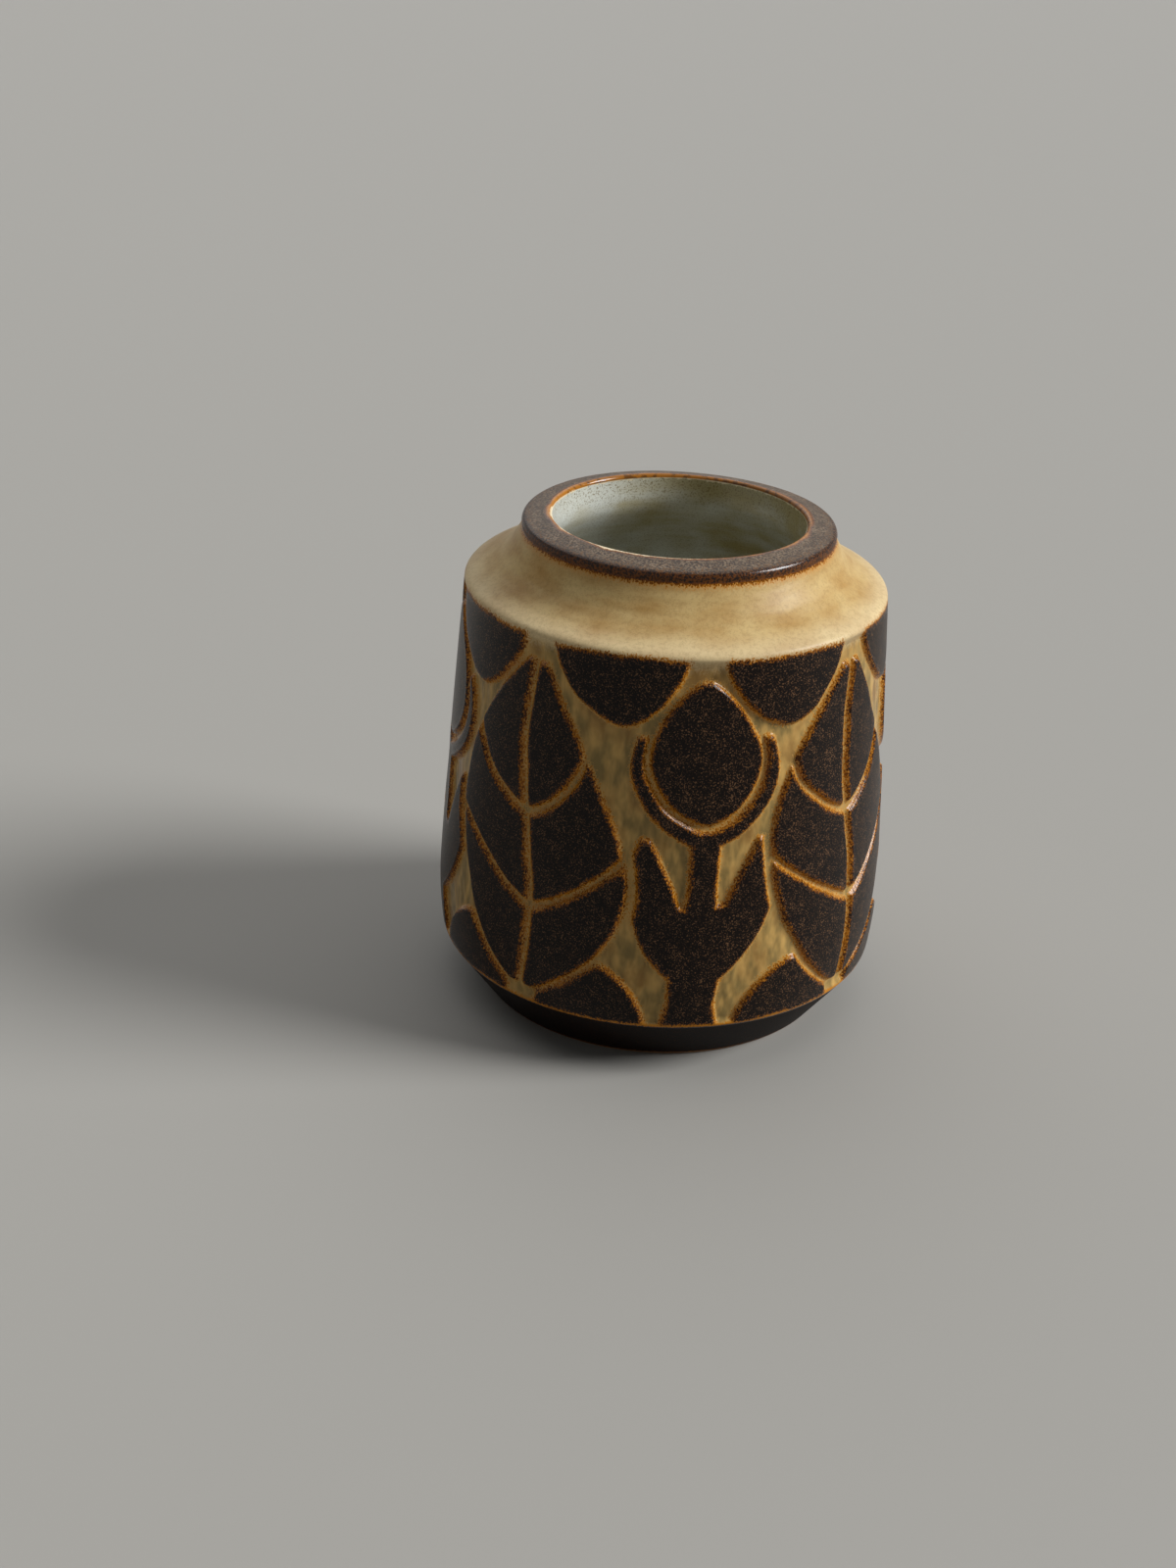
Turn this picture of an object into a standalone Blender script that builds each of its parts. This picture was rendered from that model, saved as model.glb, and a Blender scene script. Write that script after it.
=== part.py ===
"""Turned stoneware vase: a clay body under its glaze layers, with a carved frieze of leaves and seed pods.

Metres, +Z up. The origin is the middle of the base, on the table, and +Z is the axis that the clay
was turned on.
"""

import math

import bmesh
import bpy
from mathutils import Vector

# Outside of the finished vase: radii from the axis, heights from the table
HEIGHT = 0.150
FOOT_RADIUS = 0.0543
FOOT_LINE_RADIUS = 0.0670
FOOT_LINE = 0.0175
BELLY_RADIUS = 0.0681
BELLY_HEIGHT = 0.0345
SHOULDER_RADIUS = 0.0621
SHOULDER_DROP = 0.0203
SHOULDER_ROUND = 0.0034
NECK_RADIUS = 0.0456
NECK_DROP = 0.0041
COVE_DROP = 0.0140
COVE_FLARE = 0.0054

# Lip and mouth
LIP_RADIUS = 0.0459
LIP_FALL = 0.0013
LIP_SIDE = 0.0007
LIP_ROUND = 0.0011
MOUTH_RADIUS = 0.0370
MOUTH_ROUND = 0.0010
THROAT_DEPTH = 0.0125
THROAT_TURN = 0.0040

# Clay: the wall, the floor and the ring that the vase stands on
WALL = 0.0065
INNER_SHOULDER_DROP = 0.0065
INNER_SHOULDER_ROUND = 0.0090
FLOOR = 0.0080
FLOOR_FILLET = 0.0160
FOOT_RING = 0.0085
RECESS = 0.0035
FOOT_CHAMFER = 0.0004
BARE_FOOT = 0.0009

# Glaze layers, the gap between neighbouring pieces, and the carving
GLAZE = 0.0006
GAP = 0.0003
RELIEF = 0.0014
DRAFT = 0.0005

# Frieze: sizes along the wall are measured at the belly, the turn round the axis in degrees
REPEATS = 4
FRIEZE_TURN = 52.5
GROOVE = 0.0026
VALLEY = 0.0036
CORNER = 0.0014
TIP = 0.0022
LEAF_WIDTH = 0.0620
LEAF_LOWNESS = 0.82
LEAF_FULLNESS = 0.92
LEAF_FOOT_GAP = 0.0030
LEAF_TIP_GAP = 0.0032
LEAF_SWAY = 0.0030
LOBES = 3
VEIN_RISE = 0.0200
VEIN_BEND = 1.3
STALK_WIDTH = 0.0080
STALK_FOOT_WIDTH = 0.0170
STALK_SWAY = 0.0020
SPRIG_FOOT = 0.0150
SPRIG_TIP_DROP = 0.0041
SPRIG_WIDTH = 0.0150
SPRIG_LEAN = 0.0135
SPRIG_LOWNESS = 0.85
SPRIG_FULLNESS = 0.8
POD_WIDTH = 0.0325
POD_LOWNESS = 0.88
POD_FULLNESS = 0.7
POD_LENGTH = 0.0415
POD_DROP = 0.0060
SEPAL = 0.0045
SEPAL_RISE = 0.0250
EAVE_SPAN = 0.0420
EAVE_DEPTH = 0.0200
MOUND_SPAN = 0.0345
MOUND_HEIGHT = 0.0190
DOME_START = 1.5
DOME_END = 0.6

# Fineness of the facets, and the angles in degrees at which an outline's corner is rounded
SEGMENTS = 48
LIP_STEPS = 2
SHOULDER_STEPS = 4
BELLY_STEPS = 2
INSIDE_STEPS = 3
EDGE_STEPS = 6
LOBE_STEPS = 4
VEIN_STEPS = 2
RIB_STEPS = 2
SEARCH_STEPS = 400
BLUNT_CORNER = 140
OPEN_CORNER = 100
SHARP_EDGE = 35
ROUNDED_SHARE = 0.45
MITRE_LIMIT = 0.5
MERGE = 1e-6

SHOULDER_HEIGHT = HEIGHT - SHOULDER_DROP
NECK_HEIGHT = HEIGHT - NECK_DROP
UNDER_GLAZE = GLAZE + GAP
UNDER_RELIEF = RELIEF + UNDER_GLAZE
FRIEZE_TOP = SHOULDER_HEIGHT - GAP
PITCH = 2 * math.pi * BELLY_RADIUS / REPEATS
LEAF_FOOT = FOOT_LINE + LEAF_FOOT_GAP
LEAF_TIP = FRIEZE_TOP - LEAF_TIP_GAP
POD_TOP = FRIEZE_TOP - POD_DROP
POD_BASE = POD_TOP - POD_LENGTH
CUP_TOP = POD_BASE + SEPAL_RISE
SPRIG_BASE = FOOT_LINE + SPRIG_FOOT
SPRIG_TIP = POD_BASE - SPRIG_TIP_DROP
VEIN_SPACING = (LEAF_TIP - LEAF_FOOT - VEIN_RISE) / LOBES
LEFT = -1
RIGHT = 1


def clear_scene():
    for item in list(bpy.data.objects):
        bpy.data.objects.remove(item, do_unlink=True)


def fired(name, colour, roughness):
    """A Principled material for fired clay or glaze."""
    material = bpy.data.materials.new(name)
    material.use_nodes = True
    shader = material.node_tree.nodes["Principled BSDF"]
    shader.inputs["Base Color"].default_value = (*colour, 1)
    shader.inputs["Roughness"].default_value = roughness
    shader.inputs["Metallic"].default_value = 0
    material.diffuse_color = (*colour, 1)
    return material


# Profiles of the finished surfaces: (radius, height) pairs, from the mouth downwards


def arc(centre, radius, start, end, steps):
    """Points on a round stretch of a profile; the angles are in degrees from the outward direction."""
    points = []
    for step in range(steps + 1):
        angle = math.radians(start + (end - start) * step / steps)
        points.append((centre[0] + radius * math.cos(angle), centre[1] + radius * math.sin(angle)))
    return points


def bezier(start, pull, push, end, steps):
    """Points on a cubic curve between two ends, drawn by its two handles."""
    points = []
    for step in range(steps + 1):
        t = step / steps
        weights = ((1 - t) ** 3, 3 * t * (1 - t) ** 2, 3 * t * t * (1 - t), t**3)
        corners = (start, pull, push, end)
        radius = sum(weight * corner[0] for weight, corner in zip(weights, corners))
        height = sum(weight * corner[1] for weight, corner in zip(weights, corners))
        points.append((radius, height))
    return points


def offset(profile, distance):
    """The profile moved sideways, to the right of its own direction."""
    points = [Vector(point) for point in profile]
    moved = []
    for index, here in enumerate(points):
        arriving = here - points[index - 1] if index else points[1] - here
        leaving = points[index + 1] - here if index + 1 < len(points) else arriving
        arriving.normalize()
        middle = (arriving + leaving.normalized()).normalized()
        stretch = distance / middle.dot(arriving)
        moved.append((here.x + middle.y * stretch, here.y - middle.x * stretch))
    return moved


def wall_radius(height):
    """Radius of the finished wall, a straight taper that rounds in below the belly."""
    if height < BELLY_HEIGHT:
        share = (BELLY_HEIGHT - height) / (BELLY_HEIGHT - FOOT_LINE)
        return BELLY_RADIUS - (BELLY_RADIUS - FOOT_LINE_RADIUS) * share**2
    share = (height - BELLY_HEIGHT) / (SHOULDER_HEIGHT - BELLY_HEIGHT)
    return BELLY_RADIUS - (BELLY_RADIUS - SHOULDER_RADIUS) * share


def wall_heights():
    """Heights at which the wall's facets break, from the foot line up to the shoulder."""
    rise = (BELLY_HEIGHT - FOOT_LINE) / BELLY_STEPS
    return [FOOT_LINE + rise * step for step in range(BELLY_STEPS + 1)] + [SHOULDER_HEIGHT]


def foot_radius(height):
    """Radius of the finished foot, which slopes in from the foot line to the table."""
    return FOOT_RADIUS + (FOOT_LINE_RADIUS - FOOT_RADIUS) * height / FOOT_LINE


def valley_foot():
    """Height at which the floor of the carving runs out over the sloping foot."""
    return FOOT_LINE * (1 - RELIEF / (FOOT_LINE_RADIUS - FOOT_RADIUS))


def lip_profile():
    """From the mouth's inner edge over the sloping lip, down its side and in to the neck."""
    mouth = arc((MOUTH_RADIUS + MOUTH_ROUND, HEIGHT - MOUTH_ROUND), MOUTH_ROUND, 180, 90, LIP_STEPS)
    edge = HEIGHT - LIP_FALL - LIP_ROUND
    slope = math.degrees(math.atan2(LIP_FALL, LIP_RADIUS - LIP_ROUND - MOUTH_RADIUS - MOUTH_ROUND))
    outer = arc((LIP_RADIUS - LIP_ROUND, edge), LIP_ROUND, 90 - slope, 0, LIP_STEPS)
    return mouth + outer + [(LIP_RADIUS, edge - LIP_SIDE), (NECK_RADIUS, NECK_HEIGHT + GAP)]


def shoulder_profile():
    """From the neck through a cove and over the shoulder to the top of the wall."""
    start = (NECK_RADIUS, NECK_HEIGHT)
    pull = (NECK_RADIUS + COVE_FLARE, NECK_HEIGHT - COVE_DROP)
    push = (SHOULDER_RADIUS, SHOULDER_HEIGHT + SHOULDER_ROUND)
    return bezier(start, pull, push, (SHOULDER_RADIUS, SHOULDER_HEIGHT), SHOULDER_STEPS)


def valley_profile():
    """Down the floor of the carving, which the ochre glaze covers."""
    heights = [valley_foot()] + wall_heights()[:-1] + [FRIEZE_TOP]
    return [(wall_radius(max(height, FOOT_LINE)) - RELIEF, height) for height in reversed(heights)]


def foot_profile():
    """Down the dark band on the sloping foot, from the run-out of the carving to the bare clay."""
    top = valley_foot() - GLAZE
    return [(foot_radius(top), top), (foot_radius(BARE_FOOT), BARE_FOOT)]


def inner_radius(height):
    """Radius of the finished inside, a wall's thickness behind the floor of the carving."""
    return wall_radius(height) - UNDER_RELIEF - WALL - UNDER_GLAZE


def inside_profile():
    """From under the mouth down the throat, out under the shoulder, down the wall and in over the floor."""
    mouth = (MOUTH_RADIUS, HEIGHT - MOUTH_ROUND - GAP)
    throat = (MOUTH_RADIUS, HEIGHT - THROAT_DEPTH)
    wall_top = SHOULDER_HEIGHT - INNER_SHOULDER_DROP
    wall = (inner_radius(wall_top), wall_top)
    pull = (throat[0], throat[1] - THROAT_TURN)
    push = (wall[0], wall[1] + INNER_SHOULDER_ROUND)
    under_shoulder = bezier(throat, pull, push, wall, INSIDE_STEPS)
    floor = RECESS + FLOOR + UNDER_GLAZE
    fillet_top = floor + FLOOR_FILLET
    centre = (inner_radius(fillet_top) - FLOOR_FILLET, fillet_top)
    fillet = arc(centre, FLOOR_FILLET, 0, -90, INSIDE_STEPS)
    return [mouth] + under_shoulder + fillet + [(0, floor)]


# Turned pieces


def add_object(name, mesh, material):
    item = bpy.data.objects.new(name, mesh)
    bpy.context.collection.objects.link(item)
    if not mesh.materials:
        mesh.materials.append(material)
    return item


def mesh_from(bm, name):
    """Shades the mesh smooth up to its real edges and hands it over."""
    mesh = bpy.data.meshes.new(name)
    bm.to_mesh(mesh)
    bm.free()
    mesh.shade_smooth()
    mesh.set_sharp_from_angle(angle=math.radians(SHARP_EDGE))
    return mesh


def turned(name, outline, material, closed=True):
    """A solid of revolution, from a closed outline or an open one that starts and ends on the axis."""
    bm = bmesh.new()
    points = [bm.verts.new((radius, 0, height)) for radius, height in outline]
    ends = list(zip(points, points[1:]))
    if closed:
        ends.append((points[-1], points[0]))
    edges = [bm.edges.new(pair) for pair in ends]
    bmesh.ops.spin(
        bm,
        geom=points + edges,
        cent=(0, 0, 0),
        axis=(0, 0, 1),
        angle=2 * math.pi,
        steps=SEGMENTS,
        use_merge=True,
    )
    bmesh.ops.remove_doubles(bm, verts=bm.verts, dist=MERGE)
    bmesh.ops.recalc_face_normals(bm, faces=bm.faces)
    return add_object(name, mesh_from(bm, name), material)


def glaze_layer(name, profile, material):
    """A glaze layer whose finished surface follows the profile."""
    return turned(name, profile + offset(profile, GLAZE)[::-1], material)


def build_clay(material):
    """The thrown body: over its ring and foot, up the carved wall, over the lip and down the inside."""
    ring_inner = FOOT_RADIUS - FOOT_RING
    bare_top = BARE_FOOT - GAP
    slope = (FOOT_LINE_RADIUS - FOOT_RADIUS) / FOOT_LINE
    set_back = UNDER_GLAZE * math.hypot(1, slope)
    carved_foot = wall_radius(FOOT_LINE) - UNDER_RELIEF
    turn_height = (carved_foot + set_back - FOOT_RADIUS) / slope
    ring = [
        (0, RECESS),
        (ring_inner - RECESS, RECESS),
        (ring_inner, 0),
        (FOOT_RADIUS - FOOT_CHAMFER, 0),
        (foot_radius(FOOT_CHAMFER), FOOT_CHAMFER),
        (foot_radius(bare_top), bare_top),
        (foot_radius(bare_top) - set_back, bare_top),
        (carved_foot, turn_height),
    ]
    wall = [(wall_radius(height) - UNDER_RELIEF, height) for height in wall_heights()]
    ledge = (SHOULDER_RADIUS - UNDER_GLAZE, SHOULDER_HEIGHT)
    shoulder = [ledge] + offset(shoulder_profile(), UNDER_GLAZE)[-2::-1]
    lip = offset(lip_profile(), UNDER_GLAZE)[::-1]
    inside = offset(inside_profile(), -UNDER_GLAZE)[1:]
    return turned("clay_body", ring + wall + shoulder + lip + inside, material, closed=False)


def build_liner(material):
    """The glaze inside, from under the rim's glaze down the throat to the floor."""
    surface = inside_profile()
    return turned("liner_glaze", surface[::-1] + offset(surface, -GLAZE), material, closed=False)


# Frieze, laid out flat: (along, up) pairs, along from the middle of a leaf, up from the table


def share_of(up, low, high):
    """How far up a stretch a height lies, from 0 to 1."""
    return min(max((up - low) / (high - low), 0), 1)


def swell(share, lowness, fullness):
    """A width that grows from 0 at both ends to 1; less lowness brings its widest place down."""
    return abs(math.sin(math.pi * share**lowness)) ** fullness


def dome(share):
    """A width that falls from 1 to 0, slowly at first."""
    return (1 - share**DOME_START) ** DOME_END


def midrib(up):
    """The line that a big leaf grows along."""
    return LEAF_SWAY * math.sin(2 * math.pi * share_of(up, LEAF_FOOT, LEAF_TIP))


def leaf_half(up):
    """Half the width of a big leaf, with a point at both ends."""
    return LEAF_WIDTH / 2 * swell(share_of(up, LEAF_FOOT, LEAF_TIP), LEAF_LOWNESS, LEAF_FULLNESS)


def stalk_line(up):
    """The line that a stalk and its pod grow along."""
    return PITCH / 2 + STALK_SWAY * math.sin(math.pi * share_of(up, FOOT_LINE, POD_TOP))


def stalk_half(up):
    """Half the stalk's width, which flares towards the foot line."""
    flare = (STALK_FOOT_WIDTH - STALK_WIDTH) * (1 - share_of(up, FOOT_LINE, SPRIG_TIP)) ** 3
    return (STALK_WIDTH + flare) / 2


def pod_half(up, grown=0):
    """Half the pod's width, or that of the same shape grown on all sides."""
    share = share_of(up, POD_BASE - grown, POD_TOP + grown)
    return (POD_WIDTH / 2 + grown) * swell(share, POD_LOWNESS, POD_FULLNESS)


def sprig_reach(up):
    """Inner and outer edge of the small leaf on the stalk, as distances from the stalk's line."""
    share = share_of(up, SPRIG_BASE, SPRIG_TIP)
    middle = stalk_half(up) + SPRIG_LEAN * math.sin(math.pi / 2 * share)
    half = SPRIG_WIDTH / 2 * swell(share, SPRIG_LOWNESS, SPRIG_FULLNESS)
    return middle - half, middle + half


def sepal_reach(up):
    """Inner and outer edge of the cup that holds the pod, as distances from the stalk's line."""
    inner = pod_half(up, GROOVE)
    thick = pod_half(up, GROOVE + SEPAL) - inner
    taper = share_of(up, POD_BASE, CUP_TOP) ** 2
    return inner, max(stalk_half(up), inner + thick * (1 - taper) + TIP * taper)


def stem_reach(up):
    """Outermost distance from the stalk's line to the stalk, its leaves, its cup or its pod."""
    if up > CUP_TOP:
        return pod_half(up)
    leaf = sprig_reach(up)[1] if SPRIG_BASE < up < SPRIG_TIP else 0
    return max(leaf, sepal_reach(up)[1])


def room(side, up):
    """Distance from the stalk's line to the valley round the big leaf on one side of it."""
    leaf_middle = midrib(up) + (PITCH if side == RIGHT else 0)
    return side * (leaf_middle - stalk_line(up)) - leaf_half(up) - VALLEY


def reach(width, low, high):
    """The stretch of heights round the widest place on which a field is wider than its tip."""
    heights = [low + (high - low) * step / SEARCH_STEPS for step in range(SEARCH_STEPS + 1)]
    widths = [width(up) for up in heights]
    first = last = widths.index(max(widths))
    while first > 0 and widths[first - 1] > TIP:
        first -= 1
    while last < SEARCH_STEPS and widths[last + 1] > TIP:
        last += 1
    return heights[first], heights[last]


def heights_between(low, high, steps):
    """Heights that crowd towards both ends, where an outline turns most."""
    middle = (low + high) / 2
    return [middle - (high - low) / 2 * math.cos(math.pi * step / steps) for step in range(steps + 1)]


def between(left, right, low, high):
    """Outline of a field between two edges, each a function of height, ended where it gets narrow."""
    low, high = reach(lambda up: right(up) - left(up), low, high)
    heights = heights_between(low, high, EDGE_STEPS)
    return [(right(up), up) for up in heights] + [(left(up), up) for up in reversed(heights)]


def beside_stalk(side, inner, outer, low, high):
    """Outline of a field on one side of the stalk, between two distances from the stalk's line."""

    def near(up):
        return stalk_line(up) + side * inner(up)

    def far(up):
        return stalk_line(up) + side * min(outer(up), room(side, up))

    left, right = (near, far) if side == RIGHT else (far, near)
    return between(left, right, low, high)


def eave(side):
    """A field that hangs from the shoulder between a leaf's tip and a pod."""
    middle = PITCH / 4

    def half(up):
        return EAVE_SPAN / 2 * dome(share_of(FRIEZE_TOP - up, 0, EAVE_DEPTH))

    def inner(up):
        return max(middle - half(up), stem_reach(up) + VALLEY)

    return beside_stalk(side, inner, lambda up: middle + half(up), FRIEZE_TOP - EAVE_DEPTH, FRIEZE_TOP)


def mound(side):
    """A field that stands on the foot line between a leaf's foot and a stalk."""
    middle = (PITCH + STALK_FOOT_WIDTH) / 4

    def half(up):
        return MOUND_SPAN / 2 * dome(share_of(up, FOOT_LINE, FOOT_LINE + MOUND_HEIGHT))

    def inner(up):
        return max(middle - half(up), stem_reach(up) + GROOVE)

    return beside_stalk(side, inner, lambda up: middle + half(up), FOOT_LINE, FOOT_LINE + MOUND_HEIGHT)


def pod():
    """The pod above its cup."""
    return between(
        lambda up: stalk_line(up) - pod_half(up),
        lambda up: stalk_line(up) + pod_half(up),
        POD_BASE,
        POD_TOP,
    )


def stem_edge(side):
    """One side of the stem: up the stalk, out and back round its leaf, up to the cup and into it."""

    def sprig_width(up):
        return sprig_reach(up)[1] - sprig_reach(up)[0]

    def clear_of_stalk(up):
        return sprig_reach(up)[0] - stalk_half(up) - GROOVE + TIP

    sprig_foot, sprig_tip = reach(sprig_width, SPRIG_BASE, SPRIG_TIP)
    crotch = reach(clear_of_stalk, SPRIG_BASE, SPRIG_TIP)[0]
    cup_base = POD_BASE - GROOVE - SEPAL
    edge = [(stalk_half(up), up) for up in (FOOT_LINE, (FOOT_LINE + sprig_foot) / 2)]
    for up in heights_between(sprig_foot, sprig_tip, EDGE_STEPS):
        edge.append((min(sprig_reach(up)[1], room(side, up)), up))
    for up in heights_between(sprig_tip, crotch, LOBE_STEPS):
        edge.append((max(sprig_reach(up)[0], stalk_half(up) + GROOVE), up))
    edge.append((stalk_half(crotch), crotch))
    for up in heights_between(cup_base, CUP_TOP, EDGE_STEPS):
        edge.append((sepal_reach(up)[1], up))
    for up in heights_between(CUP_TOP, POD_BASE - GROOVE, EDGE_STEPS):
        edge.append((sepal_reach(up)[0], up))
    return edge


def stem():
    """The stalk with its two leaves and the cup round the pod's foot."""
    right = [(stalk_line(up) + distance, up) for distance, up in stem_edge(RIGHT)]
    left = [(stalk_line(up) - distance, up) for distance, up in stem_edge(LEFT)]
    return right + left[-2::-1]


def leaf_point(side, across, up):
    """A point on half a leaf: across runs from 0 beside the midrib's groove to 1 on the leaf's edge."""
    beside = GROOVE / 2
    return (midrib(up) + side * (beside + across * max(leaf_half(up) - beside, 0)), up)


def vein_side(side, vein, away):
    """One side of a vein's groove, from the midrib out to the leaf's edge."""
    points = []
    for step in range(VEIN_STEPS + 1):
        across = step / VEIN_STEPS
        points.append(leaf_point(side, across, vein + VEIN_RISE * across**VEIN_BEND + away))
    return points


def leaf_lobe(side, index):
    """One of the three lobes of half a leaf, counted from its foot."""
    ends = reach(lambda up: leaf_half(up) - GROOVE / 2, LEAF_FOOT, LEAF_TIP)
    lower, upper = [[leaf_point(side, 0, end), leaf_point(side, 1, end)] for end in ends]
    away = GROOVE / 2 * math.hypot(1, 2 * VEIN_RISE / LEAF_WIDTH)
    if index > 0:
        lower = vein_side(side, LEAF_FOOT + VEIN_SPACING * index, away)
    if index < LOBES - 1:
        upper = vein_side(side, LEAF_FOOT + VEIN_SPACING * (index + 1), -away)
    edge = []
    for step in range(1, LOBE_STEPS):
        up = lower[-1][1] + (upper[-1][1] - lower[-1][1]) * step / LOBE_STEPS
        edge.append(leaf_point(side, 1, up))
    rib = []
    for step in range(1, RIB_STEPS):
        up = upper[0][1] + (lower[0][1] - upper[0][1]) * step / RIB_STEPS
        rib.append(leaf_point(side, 0, up))
    outline = lower + edge + upper[::-1] + rib
    return outline if side == RIGHT else outline[::-1]


# Raised fields on the wall


def rounded(outline):
    """The outline with each real corner turned into a short curve."""
    softened = []
    for index, point in enumerate(outline):
        here = Vector(point)
        before = Vector(outline[index - 1]) - here
        after = Vector(outline[(index + 1) % len(outline)]) - here
        opening = before.angle(after)
        if opening > math.radians(BLUNT_CORNER):
            softened.append(point)
            continue
        shorter = min(before.length, after.length)
        back = min(CORNER / math.tan(opening / 2), ROUNDED_SHARE * shorter)
        start = here + before.normalized() * back
        end = here + after.normalized() * back
        if opening > math.radians(OPEN_CORNER):
            softened += [tuple(start), tuple(end)]
        else:
            softened += [tuple(start), tuple((start + 2 * here + end) / 4), tuple(end)]
    return softened


def inset(outline, distance):
    """The outline drawn in on all sides; it runs anticlockwise."""
    count = len(outline)
    drawn = []
    for index, point in enumerate(outline):
        here = Vector(point)
        arriving = (here - Vector(outline[index - 1])).normalized()
        leaving = (Vector(outline[(index + 1) % count]) - here).normalized()
        middle = (arriving + leaving).normalized()
        stretch = distance / max(middle.dot(arriving), MITRE_LIMIT)
        drawn.append((here.x - middle.y * stretch, here.y + middle.x * stretch))
    return drawn


def cut_across(bm, point, normal):
    geometry = bm.verts[:] + bm.edges[:] + bm.faces[:]
    bmesh.ops.bisect_plane(bm, geom=geometry, dist=MERGE / 10, plane_co=point, plane_no=normal)


def raised_mesh(name, outline):
    """A field with sloping sides, cut where the wall's facets break and then bent round the wall."""
    outline = rounded(outline)
    bm = bmesh.new()
    lower = [bm.verts.new((along, up, GAP - RELIEF)) for along, up in outline]
    upper = [bm.verts.new((along, up, 0)) for along, up in inset(outline, DRAFT)]
    bm.faces.new(lower[::-1])
    bm.faces.new(upper)
    for index in range(len(outline)):
        bm.faces.new((lower[index - 1], lower[index], upper[index], upper[index - 1]))
    facet = PITCH * REPEATS / SEGMENTS
    first = math.ceil(min(along for along, up in outline) / facet)
    last = math.floor(max(along for along, up in outline) / facet)
    for count in range(first, last + 1):
        cut_across(bm, (count * facet, 0, 0), (1, 0, 0))
    for up in wall_heights():
        cut_across(bm, (0, up, 0), (0, 1, 0))
    bmesh.ops.triangulate(bm, faces=bm.faces)
    for vert in bm.verts:
        along, up, depth = vert.co
        angle = along / BELLY_RADIUS
        radius = wall_radius(up) + depth
        vert.co = (radius * math.cos(angle), radius * math.sin(angle), up)
    return mesh_from(bm, name)


def build_frieze(material, parent):
    """Every field once for each repeat, turned round the axis."""
    fields = {"stem": stem(), "pod": pod()}
    for side, word in ((LEFT, "left"), (RIGHT, "right")):
        for index, place in enumerate(("lower", "middle", "upper")):
            fields[f"leaf_{word}_{place}"] = leaf_lobe(side, index)
        fields[f"eave_{word}"] = eave(side)
        fields[f"mound_{word}"] = mound(side)
    for name, outline in fields.items():
        mesh = raised_mesh(name, outline)
        for repeat in range(REPEATS):
            item = add_object(f"{name}_{repeat + 1}", mesh, material)
            item.rotation_euler.z = math.radians(FRIEZE_TURN) + 2 * math.pi * repeat / REPEATS
            item.parent = parent


def build_vase():
    """All pieces under one empty, each with its own glaze or the bare clay."""
    vase = bpy.data.objects.new("vase", None)
    bpy.context.collection.objects.link(vase)
    bare = fired("bare_stoneware", (0.36, 0.25, 0.16), 0.85)
    pale = fired("pale_liner_glaze", (0.47, 0.48, 0.40), 0.22)
    brown = fired("brown_rim_glaze", (0.13, 0.085, 0.06), 0.35)
    tan = fired("tan_shoulder_glaze", (0.45, 0.30, 0.14), 0.38)
    ochre = fired("ochre_valley_glaze", (0.32, 0.19, 0.07), 0.35)
    dark = fired("dark_speckled_glaze", (0.022, 0.012, 0.008), 0.32)
    pieces = [
        build_clay(bare),
        build_liner(pale),
        glaze_layer("rim_glaze", lip_profile(), brown),
        glaze_layer("shoulder_glaze", shoulder_profile(), tan),
        glaze_layer("valley_glaze", valley_profile(), ochre),
        glaze_layer("foot_glaze", foot_profile(), dark),
    ]
    for piece in pieces:
        piece.parent = vase
    build_frieze(dark, vase)


if __name__ == "__main__":
    clear_scene()
    build_vase()
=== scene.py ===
"""Turned stoneware vase with a carved frieze under broken glazes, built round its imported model.

Lengths are in metres, +Z up, with the origin in the middle of the base. The frieze is drawn flat, in
(along, up) pairs: along from the middle of a big leaf, measured at the belly, and up from the table.
"""

import math

import bpy
import numpy as np
from bpy.props import FloatProperty, FloatVectorProperty, IntProperty, PointerProperty
from bpy.types import Operator, Panel, PropertyGroup
from mathutils import Matrix


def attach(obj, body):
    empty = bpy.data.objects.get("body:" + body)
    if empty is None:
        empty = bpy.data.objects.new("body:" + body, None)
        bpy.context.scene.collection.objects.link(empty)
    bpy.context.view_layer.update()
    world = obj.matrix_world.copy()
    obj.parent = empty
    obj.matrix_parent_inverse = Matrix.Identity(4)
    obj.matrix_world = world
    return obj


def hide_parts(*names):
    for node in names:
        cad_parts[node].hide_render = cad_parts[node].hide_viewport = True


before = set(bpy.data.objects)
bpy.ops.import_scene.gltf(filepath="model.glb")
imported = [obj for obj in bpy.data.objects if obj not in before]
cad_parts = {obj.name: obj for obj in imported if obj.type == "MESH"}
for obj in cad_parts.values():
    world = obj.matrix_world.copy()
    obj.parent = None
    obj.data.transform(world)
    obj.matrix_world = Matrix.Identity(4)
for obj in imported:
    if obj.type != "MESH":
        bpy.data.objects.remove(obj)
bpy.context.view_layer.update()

bl_info = {
    "name": "Carved Stoneware Vase",
    "version": (1, 0, 0),
    "blender": (4, 5, 0),
    "location": "3D View > Sidebar > Vase",
    "description": "Throws, carves and glazes a stoneware vase round its packed model",
    "category": "Add Mesh",
}

BODY = "root"
MM = 0.001
TURN = 2 * math.pi


# Sizes and colours


def linear(hex_colour):
    """An sRGB hex colour as linear red, green and blue."""
    channels = [int(hex_colour[at : at + 2], 16) / 255 for at in (0, 2, 4)]
    return tuple(c / 12.92 if c <= 0.04045 else ((c + 0.055) / 1.055) ** 2.4 for c in channels)


def length(name, default, description):
    return FloatProperty(
        name=name,
        description=description,
        default=default,
        min=0,
        precision=5,
        subtype="DISTANCE",
        unit="LENGTH",
    )


def ratio(name, default, description):
    return FloatProperty(name=name, description=description, default=default, min=0, subtype="FACTOR")


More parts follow.
